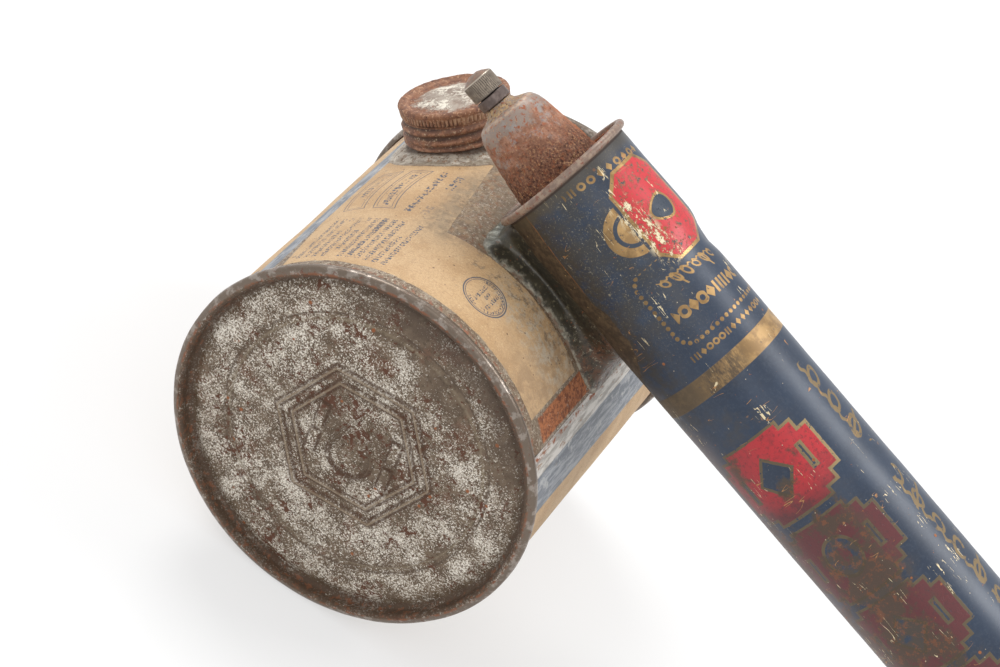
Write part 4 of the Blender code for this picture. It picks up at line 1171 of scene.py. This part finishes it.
def make_neck():
    """The threaded neck, and the lumpy solder that spreads round its foot on the tank."""
    steps = 360
    inner = NECK_R - 0.6
    top = CAP_TOP - 3.0
    path = rounded(
        [(inner, 51), (inner, top), (NECK_R, top), (NECK_R, CAP_LOW + 1), (NECK_R, 50.5)], 0.3, 0.35
    )

    def threads(angle, r, h):
        held = np.clip(np.minimum(h - THREAD_LOW, THREAD_HIGH - h) / 0.8, 0, 1)
        return (r > inner + 0.3) * 0.75 * thread(angle, h) * held

    tube = turn(path, steps, ON_FILLER, threads)
    angle = np.linspace(0, 2 * pi, steps, endpoint=False)
    around = np.stack([np.cos(angle) * 3, np.sin(angle) * 3, angle * 0], -1)
    rings = []
    solder = (
        (0.0, 2.2), (0.5, 1.6), (1.2, 1.15), (2.0, 0.95), (2.8, 0.85), (3.6, 0.75), (4.4, 0.6), (5.2, 0.4),
        (6.0, 0.15), (6.5, -0.2),
    )
    for reach, lift in solder:
        ring_r = NECK_R + reach * (0.85 + 0.5 * (value_noise(around, 8) - 0.5))
        x, y = ring_r * np.cos(angle), ring_r * np.sin(angle)
        p = np.stack([x, y, x * 0], -1)
        lumps = (0.45 * fbm(p, 3.4, 3, 9) + 0.25 * fbm(p, 1.2, 2, 10)) * (lift > 0.0)
        rings.append(
            np.stack([x, y, np.sqrt(TANK_R ** 2 - x ** 2) + lift + lumps * min(1.0, lift + 0.4)], -1)
        )
    under = []
    for reach in (4.4, 2.0, -0.4):
        x, y = (NECK_R + reach) * np.cos(angle), (NECK_R + reach) * np.sin(angle)
        under.append(np.stack([x, y, np.sqrt(TANK_R ** 2 - x ** 2) - 0.3], -1))
    grid = np.concatenate([tube, np.array(rings), np.array(under)])
    add("neck", skin("neck", grid), FILLER, BODY, NECK_TIN, "filler_neck")


# ---------------------------------------------------------------- saddle

SADDLE_FRONT, SADDLE_REAR = reach_of(spots("pump_saddle"))
_foot = reach_of(spots("pump_saddle"), 1)
FOOT_HALF = (_foot[1] - _foot[0]) / 2


def knocked_up(x, z):
    """How far the mouth end of the barrel was knocked up; z is from the barrel's own axis."""
    amount = (1.35 + 0.35 * smoothstep(-18, 9, x)) * smoothstep(20.8, 9.5, x)
    mouth = smoothstep(-6.0, -14.0, x)
    return amount * (mouth + (1 - mouth) * (0.5 + 0.5 * np.clip(z / BARREL_R, -1, 1)))


def make_saddle():
    """A pressed collar between tank and barrel, with solder along its foot and at its front corners."""
    count = 480
    angle = np.linspace(0, 2 * pi, count, endpoint=False)
    c, s = np.cos(angle), np.sin(angle)
    corner = 1 / (np.abs(c) ** 5 + np.abs(s) ** 5) ** (1 / 5)
    middle = (SADDLE_FRONT + SADDLE_REAR) / 2
    top_half = 14.3

    def ring(rise, inset, lumpy):
        spread = (1 - rise) ** 3.0
        front_reach = 1.6 * smoothstep(0.25, 0.0, rise)
        half_x = (SADDLE_REAR - SADDLE_FRONT) / 2 - 3.5 * (1 - spread) * (c > 0) + front_reach * (c < 0)
        edge_x = middle + half_x * corner * c
        foot = (FOOT_HALF + 0.6) * (1 - 0.06 * smoothstep(-5.0, 22.0, edge_x))
        waist = 2.3 * np.sin(pi * np.clip(rise * 1.05, 0, 1)) ** 1.2
        half_y = top_half + (foot - top_half) * spread - waist * (1 - 0.5 * smoothstep(-8.0, -16.0, edge_x))
        x = middle + (half_x - inset) * corner * c
        near_corner = smoothstep(-5.0, -16.0, x) * smoothstep(0.0, -0.8, s) * smoothstep(0.30, 0.0, rise)
        y = (half_y - inset) * corner * s - 2.4 * near_corner
        low = np.sqrt(TANK_R ** 2 - x ** 2)
        down = np.sqrt(np.maximum(BARREL_R ** 2 - y ** 2, 1.0))
        high = BARREL_Z - down + knocked_up(x, -down)
        z = low - 0.15 + rise * (high - low + 0.4)
        p = np.stack([x, y + BARREL_Y, z], -1)
        bumps = lumpy * (0.4 * fbm(p, 7.0, 3, 31) + 0.12 * fbm(p, 1.8, 2, 32))
        blob = (
            0.6 * smoothstep(-12.0, -18.5, x) * smoothstep(0.32, 0.0, rise)
            * (0.6 + 0.6 * fbm(p, 3.0, 2, 33))
        )
        out = bumps + blob * (inset == 0)
        return p + np.stack([out * c, out * s, bumps * 0.8], -1)

    rises = np.linspace(0, 1, 44) ** 1.3
    outer = [ring(rise, 0.0, smoothstep(0.0, 0.06, rise) * (1.15 - rise)) for rise in rises]
    inner = [ring(rise, 0.7, 0.0) for rise in np.linspace(0, 1, 8)]
    add("saddle", skin("saddle", np.array(outer[::-1] + inner)), DESIGN, BODY, SADDLE_TIN, "pump_saddle")


# ---------------------------------------------------------------- barrel, cone and nozzle

def barrel_dents(angle, r, h):
    """A sharp dent on the far side behind the mouth, two gentle ones by the saddle, and light waves."""
    round_by = signed_degrees(angle)
    p = on_axis(angle, BARREL_R, h)
    out = 0.12 * fbm(p, 26.0, 3, 41) + 0.03 * fbm(p, 5.0, 2, 42)
    dents = ((0.8, -34, 7.5, 17.5, 4.5), (0.45, 96, 7, 24.0, 9.0), (0.3, 35, 5, 6.0, 7.0))
    for depth, middle, half_arc, centre, half_long in dents:
        arc = (round_by - middle) * radians(1) * BARREL_R
        out -= depth * np.exp(-((arc / half_arc) ** 2 + ((h - centre) / half_long) ** 2))
    return out * (r > BARREL_R - 0.3) * smoothstep(BARREL_FRONT + 2.5, BARREL_FRONT + 6, h)


def make_barrel():
    bead = (BEAD_R - BORE_R) / 2 - 0.05
    centre_r, centre_x = BEAD_R - bead, BARREL_FRONT + bead
    curl = [
        (centre_r + bead * cos(radians(a)), centre_x + bead * sin(radians(a))) for a in range(105, -180, -15)
    ]
    outside = [(BARREL_R, BARREL_REAR), (BARREL_R, centre_x + bead + 0.25)] + curl
    fine = rounded(outside, 0.2, 0.95)
    near = fine[:, 1] < BARREL_FRONT + 3
    path = np.concatenate([fine[~near], rounded([(BARREL_R, BARREL_FRONT + 3)] + outside[1:], 0.15, 0.2)])
    inside = rounded([(BORE_R, centre_x), (BORE_R, BARREL_REAR)], 0.1, 3.0)
    grid = walls(path, inside, 240, ON_PUMP, barrel_dents)
    grid[..., 2] += knocked_up(grid[..., 0], grid[..., 2])
    add("barrel_tube", skin("barrel_tube", grid), PUMP, BODY, NAVY, "pump_barrel")


def soft_dents(depth, seed, size=12.0, octaves=3):
    def shape(angle, r, h):
        return depth * fbm(on_axis(angle, r, h), size, octaves, seed)
    return shape


def cone_pits(angle, r, h):
    """Blistered, crumbling rust, deepest towards the mouth and on the camera's side."""
    p = on_axis(angle, r, h)
    rusty = smoothstep(-37.0, -22.0, h + 3.0 * fbm(p, 9.0, 2, 54))
    blisters = fbm(p, 2.0, 2, 51) * 0.6 + fbm(p, 0.85, 2, 55) * 0.6
    return (0.05 + 0.30 * rusty) * blisters + 0.15 * fbm(p, 16.0, 2, 53)


def make_cone():
    wall = BORE_R - 0.3
    base = [
        (wall, -15.0), (wall, -19.0), (wall - 0.5, -19.2), (wall - 0.6, -15.8), (14.2, -15.6), (13.1, -16.8),
    ]
    side = [
        (13.1, -16.8), (12.6, -21.0), (11.15, -31.2), (10.55, -35.2), (10.1, -37.4), (9.7, -38.6),
        (8.75, -40.3),
        (8.3, -40.75), (5.4, -42.0), (4.6, -42.5), (4.15, -43.2), (4.05, -43.8),
    ]
    back = [(3.5, -43.6), (4.2, -41.8), (8.0, -40.0), (9.4, -37.0), (12.0, -21.0), (12.8, -15.0)]
    path = np.concatenate([rounded(base, 0.4, 0.6), rounded(side, 0.28, 0.26)[1:]])
    grid = walls(path, rounded(back, 0.5, 1.5), 420, ON_PUMP, cone_pits)
    grid[..., 2] += knocked_up(grid[..., 0], grid[..., 2]) * smoothstep(-20.5, -16.0, grid[..., 0])
    add("spray_cone", skin("spray_cone", grid), PUMP, BODY, CONE_RUST, "nozzle_cone")


def make_nozzle():
    def tip_shape(angle, r, h):
        band = (
            smoothstep(KNURL_BACK, KNURL_BACK - 0.2, h) * smoothstep(KNURL_FRONT, KNURL_FRONT + 0.2, h)
            * (r > 4.2)
        )
        p = on_axis(angle, r, h)
        worn = 0.6 + 0.5 * fbm(p, 2.5, 2, 63)
        return band * 0.09 * worn * np.cos(angle * 48 + 0.5 * np.sin(h * 2.2)) + 0.035 * fbm(p, 0.9, 3, 61)

    body = [
        (2.5, -40.0), (3.2, -40.0), (3.2, SPIGOT_BACK), (4.3, SPIGOT_BACK), (4.5, SPIGOT_BACK - 0.2),
        (4.5, -46.7),
        (4.3, -46.9), (3.0, -46.95), (3.0, -50.3),
    ]
    bore = [(1.9, -50.3), (1.9, -47.6), (2.5, -47.5)]
    grid = walls(
        rounded(body, 0.1, 0.12), rounded(bore, 0.1, 0.8), 260, ON_PUMP, soft_dents(0.03, 62, 3.0, 2)
    )
    add("nozzle_spigot", skin("nozzle_spigot", grid), PUMP, BODY, TIP_BRASS, "nozzle_body")
    tip = [
        (3.3, -47.2), (4.4, -47.2), (4.52, -47.35), (4.52, -52.15), (4.4, -52.4), (4.15, -52.55),
        (2.6, -53.5),
        (1.4, TIP_FRONT + 0.05), (0.8, TIP_FRONT), (0.5, TIP_FRONT + 0.2),
    ]
    hole = [(0.5, -51.5), (3.3, -51.4)]
    grid = walls(rounded(tip, 0.08, 0.09), np.array(hole), 480, ON_PUMP, tip_shape)
    add("spray_tip", skin("spray_tip", grid), PUMP, "tip", TIP_BRASS, "nozzle_tip")


# ---------------------------------------------------------------- rear cap, rod and knob

ROD_R = 3.175
ROD_HOLE = ROD_R + 0.275


def lathe(name, outline, spacing, steps, body, finish, node, shape=None, cut=0.25, ring=True):
    """A piece turned round the barrel's axis from an outline that runs down its outer side."""
    grid = turn(rounded(outline, cut, spacing), steps, ON_PUMP, shape)
    add(name, skin(name, grid, loop=ring), PUMP, body, finish, node)


def make_rear_cap():
    cap = spots("barrel_cap") - np.array([0.0, BARREL_Y, BARREL_Z])
    front, end = reach_of(cap)
    face, skirt = end - 3.5, BARREL_R + 0.3
    outline = [
        (ROD_HOLE, end - 0.7), (ROD_HOLE, end), (7.2, end), (7.9, end - 0.5), (8.0, end - 1.2),
        (8.5, face + 0.35),
        (9.6, face - 0.3), (10.8, face - 0.45), (11.9, face), (17.6, face), (19.1, face - 0.4),
        (19.8, face - 1.5),
        (19.8, front + 9.0), (20.25, front + 8.3), (20.25, front + 7.3), (19.8, front + 6.6),
        (19.8, front + 2.0),
        (20.2, front + 1.5), (20.6, front + 0.9), (20.4, front + 0.1), (skirt, front), (skirt, face - 1.0),
        (18.6, face - 0.6), (7.8, face - 0.6), (7.5, end - 0.9),
    ]
    lathe("rear_cap", outline, 0.4, 300, BODY, NAVY, "barrel_cap", soft_dents(0.1, 71), 0.35)


def make_plunger_parts():
    head = float(spots("plunger_rod")[:, 0].max())
    rod = [
        (0.0, head), (2.2, head - 0.15), (3.8, head - 0.7), (4.4, head - 1.3), (4.4, head - 1.6),
        (ROD_R, head - 1.6),
        (ROD_R, 13.0), (5.4, 13.0), (5.5, 12.8), (5.5, 10.4), (5.4, 10.2), (2.4, 10.2), (2.4, 0.7),
        (2.0, 0.3), (0.0, 0.3),
    ]
    lathe(
        "pump_rod", rod, 0.8, 72, "plunger", ROD_STEEL, "plunger_rod", soft_dents(0.03, 72), 0.15,
        ring=False
    )
    front, back = reach_of(spots("handle_washer"))
    outline = [
        (ROD_HOLE, front), (ROD_HOLE, back - 0.1), (ROD_HOLE + 0.2, back), (5.9, back), (6.4, back - 0.25),
        (6.5, front),
    ]
    lathe(
        "rivet_washer", outline, 0.2, 120, "plunger", STEEL, "handle_washer", soft_dents(0.04, 73, 4.0),
        0.15
    )


def make_knob():
    """A turned wooden knob: a waist rising to a bulb, two turned grooves, and a slightly hollow end."""
    knob = spots("handle_knob") - np.array([0.0, BARREL_Y, BARREL_Z])
    front, end = reach_of(knob)
    bulb_r, centre, neck_end, neck_r = widest(knob), 325.0, front + 7.6, 9.0
    reach, groove_r = end - centre, bulb_r - 0.35
    bulb = [(bulb_r * cos(radians(a)), centre + reach * sin(radians(a))) for a in range(66, -1, -6)]
    bulb[-1:] = [
        (bulb_r, centre + 0.9), (groove_r, centre + 0.55), (groove_r, centre + 0.25), (bulb_r, centre),
    ]
    swell = [
        (neck_r + (bulb_r - neck_r) * (0.5 + 0.5 * cos(pi * t)), centre + (neck_end - centre) * t)
        for t in np.linspace(0, 1, 12)[1:]
    ]
    outline = [(ROD_HOLE, end - 0.5), (ROD_HOLE + 0.4, end - 0.1), (5.6, end)] + bulb + swell + [
        (7.9, neck_end + 0.1), (7.8, neck_end - 0.4), (7.8, front), (ROD_HOLE, front)]
    lathe("wood_knob", outline, 0.5, 220, "handle", WOOD, "handle_knob", soft_dents(0.06, 74, 9.0), 0.3)
    low, high = reach_of(spots("handle_ferrule"))
    band = [
        (8.1, high), (8.5, high), (8.6, high - 0.3), (8.6, high - 2.2), (8.85, high - 2.6),
        (8.6, high - 3.0),
        (8.6, low + 1.8), (8.95, low + 1.2), (8.95, low + 0.5), (8.6, low + 0.05), (8.1, low),
    ]
    lathe(
        "knob_ferrule", band, 0.2, 200, "handle", FERRULE, "handle_ferrule", soft_dents(0.07, 75, 5.0), 0.15
    )


for make in (
    make_tank_wall, make_tank_ends, make_cap, make_neck, make_saddle, make_barrel, make_cone, make_nozzle,
    make_rear_cap, make_plunger_parts, make_knob,
):
    make()

# The inner pieces keep the CAD's shapes.
INNER_PIECES = (
    (CORK, "cap_gasket"), (BARE_WOOD, "rod_guide"), (FELT, "oil_felt"),
    (LEATHER, "plunger_cup nozzle_packing"),
    (BRASS, "nozzle_jet siphon_tube valve_plate valve_cage"),
    (STEEL, "valve_ball cup_front_washer cup_back_washer plunger_nut"),
)
for finish, names in INNER_PIECES:
    for name in names.split():
        inner_mesh = frame["nodes"][name].data
        inner_mesh.materials.clear()
        inner_mesh.materials.append(finish)


# ---------------------------------------------------------------- stage, light and camera

CAMERA_AIM_HEADING, CAMERA_DOWN, CAMERA_ROLL = -8.54, 36.44, 28.81    # degrees
CAMERA_LENS = 116.6
CAMERA_PLACE = (-0.0291, -0.7112, 0.6026)    # metres
LIGHT_AIM = (-0.1, 0.0, 0.05)
FLOOR_GREY, FLOOR_GLOW, SKY = 0.36, 0.55, 0.82


def make_stage():
    floor_mesh = bpy.data.meshes.new("floor")
    floor_mesh.from_pydata([(-4, -4, 0), (4, -4, 0), (4, 4, 0), (-4, 4, 0)], [], [(0, 1, 2, 3)])
    floor = bpy.data.objects.new("floor", floor_mesh)
    bpy.context.scene.collection.objects.link(floor)
    paper = bpy.data.materials.new("floor_paper")
    paper.use_nodes = True
    shader = paper.node_tree.nodes["Principled BSDF"]
    shader.inputs["Base Color"].default_value = (FLOOR_GREY, FLOOR_GREY, FLOOR_GREY, 1.0)
    shader.inputs["Roughness"].default_value = 0.9
    shader.inputs["Specular IOR Level"].default_value = 0.1
    shader.inputs["Emission Color"].default_value = (1.0, 1.0, 1.0, 1.0)
    shader.inputs["Emission Strength"].default_value = FLOOR_GLOW
    floor_mesh.materials.append(paper)


def area_light(name, place, size, power):
    """A soft light box aimed at the object."""
    lamp = bpy.data.lights.new(name, "AREA")
    lamp.shape = "RECTANGLE"
    lamp.size, lamp.size_y = size
    lamp.energy = power
    made = bpy.data.objects.new(name, lamp)
    made.location = place
    made.rotation_mode = "QUATERNION"
    made.rotation_quaternion = (Vector(LIGHT_AIM) - Vector(place)).to_track_quat("-Z", "Y")
    bpy.context.scene.collection.objects.link(made)


def make_light():
    world = bpy.data.worlds.new("studio")
    bpy.context.scene.world = world
    world.use_nodes = True
    world.node_tree.nodes["Background"].inputs["Color"].default_value = (1.0, 1.0, 1.0, 1.0)
    world.node_tree.nodes["Background"].inputs["Strength"].default_value = SKY
    area_light("left_box", (-1.2, 0.9, 1.5), (0.9, 0.9), 22.0)
    area_light("right_box", (1.0, 0.72, 1.5), (0.8, 0.7), 16.0)
    area_light("front_box", (0.1, -1.4, 1.6), (1.4, 1.0), 8.0)


def make_camera():
    lens = bpy.data.cameras.new("camera")
    lens.lens = CAMERA_LENS
    lens.sensor_width = 36.0
    lens.clip_start = 0.01
    camera = bpy.data.objects.new("camera", lens)
    bpy.context.scene.collection.objects.link(camera)
    heading, down, roll = (radians(a) for a in (CAMERA_AIM_HEADING, CAMERA_DOWN, CAMERA_ROLL))
    camera.matrix_world = (
        Matrix.Translation(CAMERA_PLACE) @ Matrix.Rotation(-heading, 4, "Z")
        @ Matrix.Rotation(pi / 2 - down, 4, "X") @ Matrix.Rotation(roll, 4, "Z")
    )
    bpy.context.scene.camera = camera


make_stage()
make_light()
make_camera()
bpy.context.scene.view_settings.view_transform = "Standard"
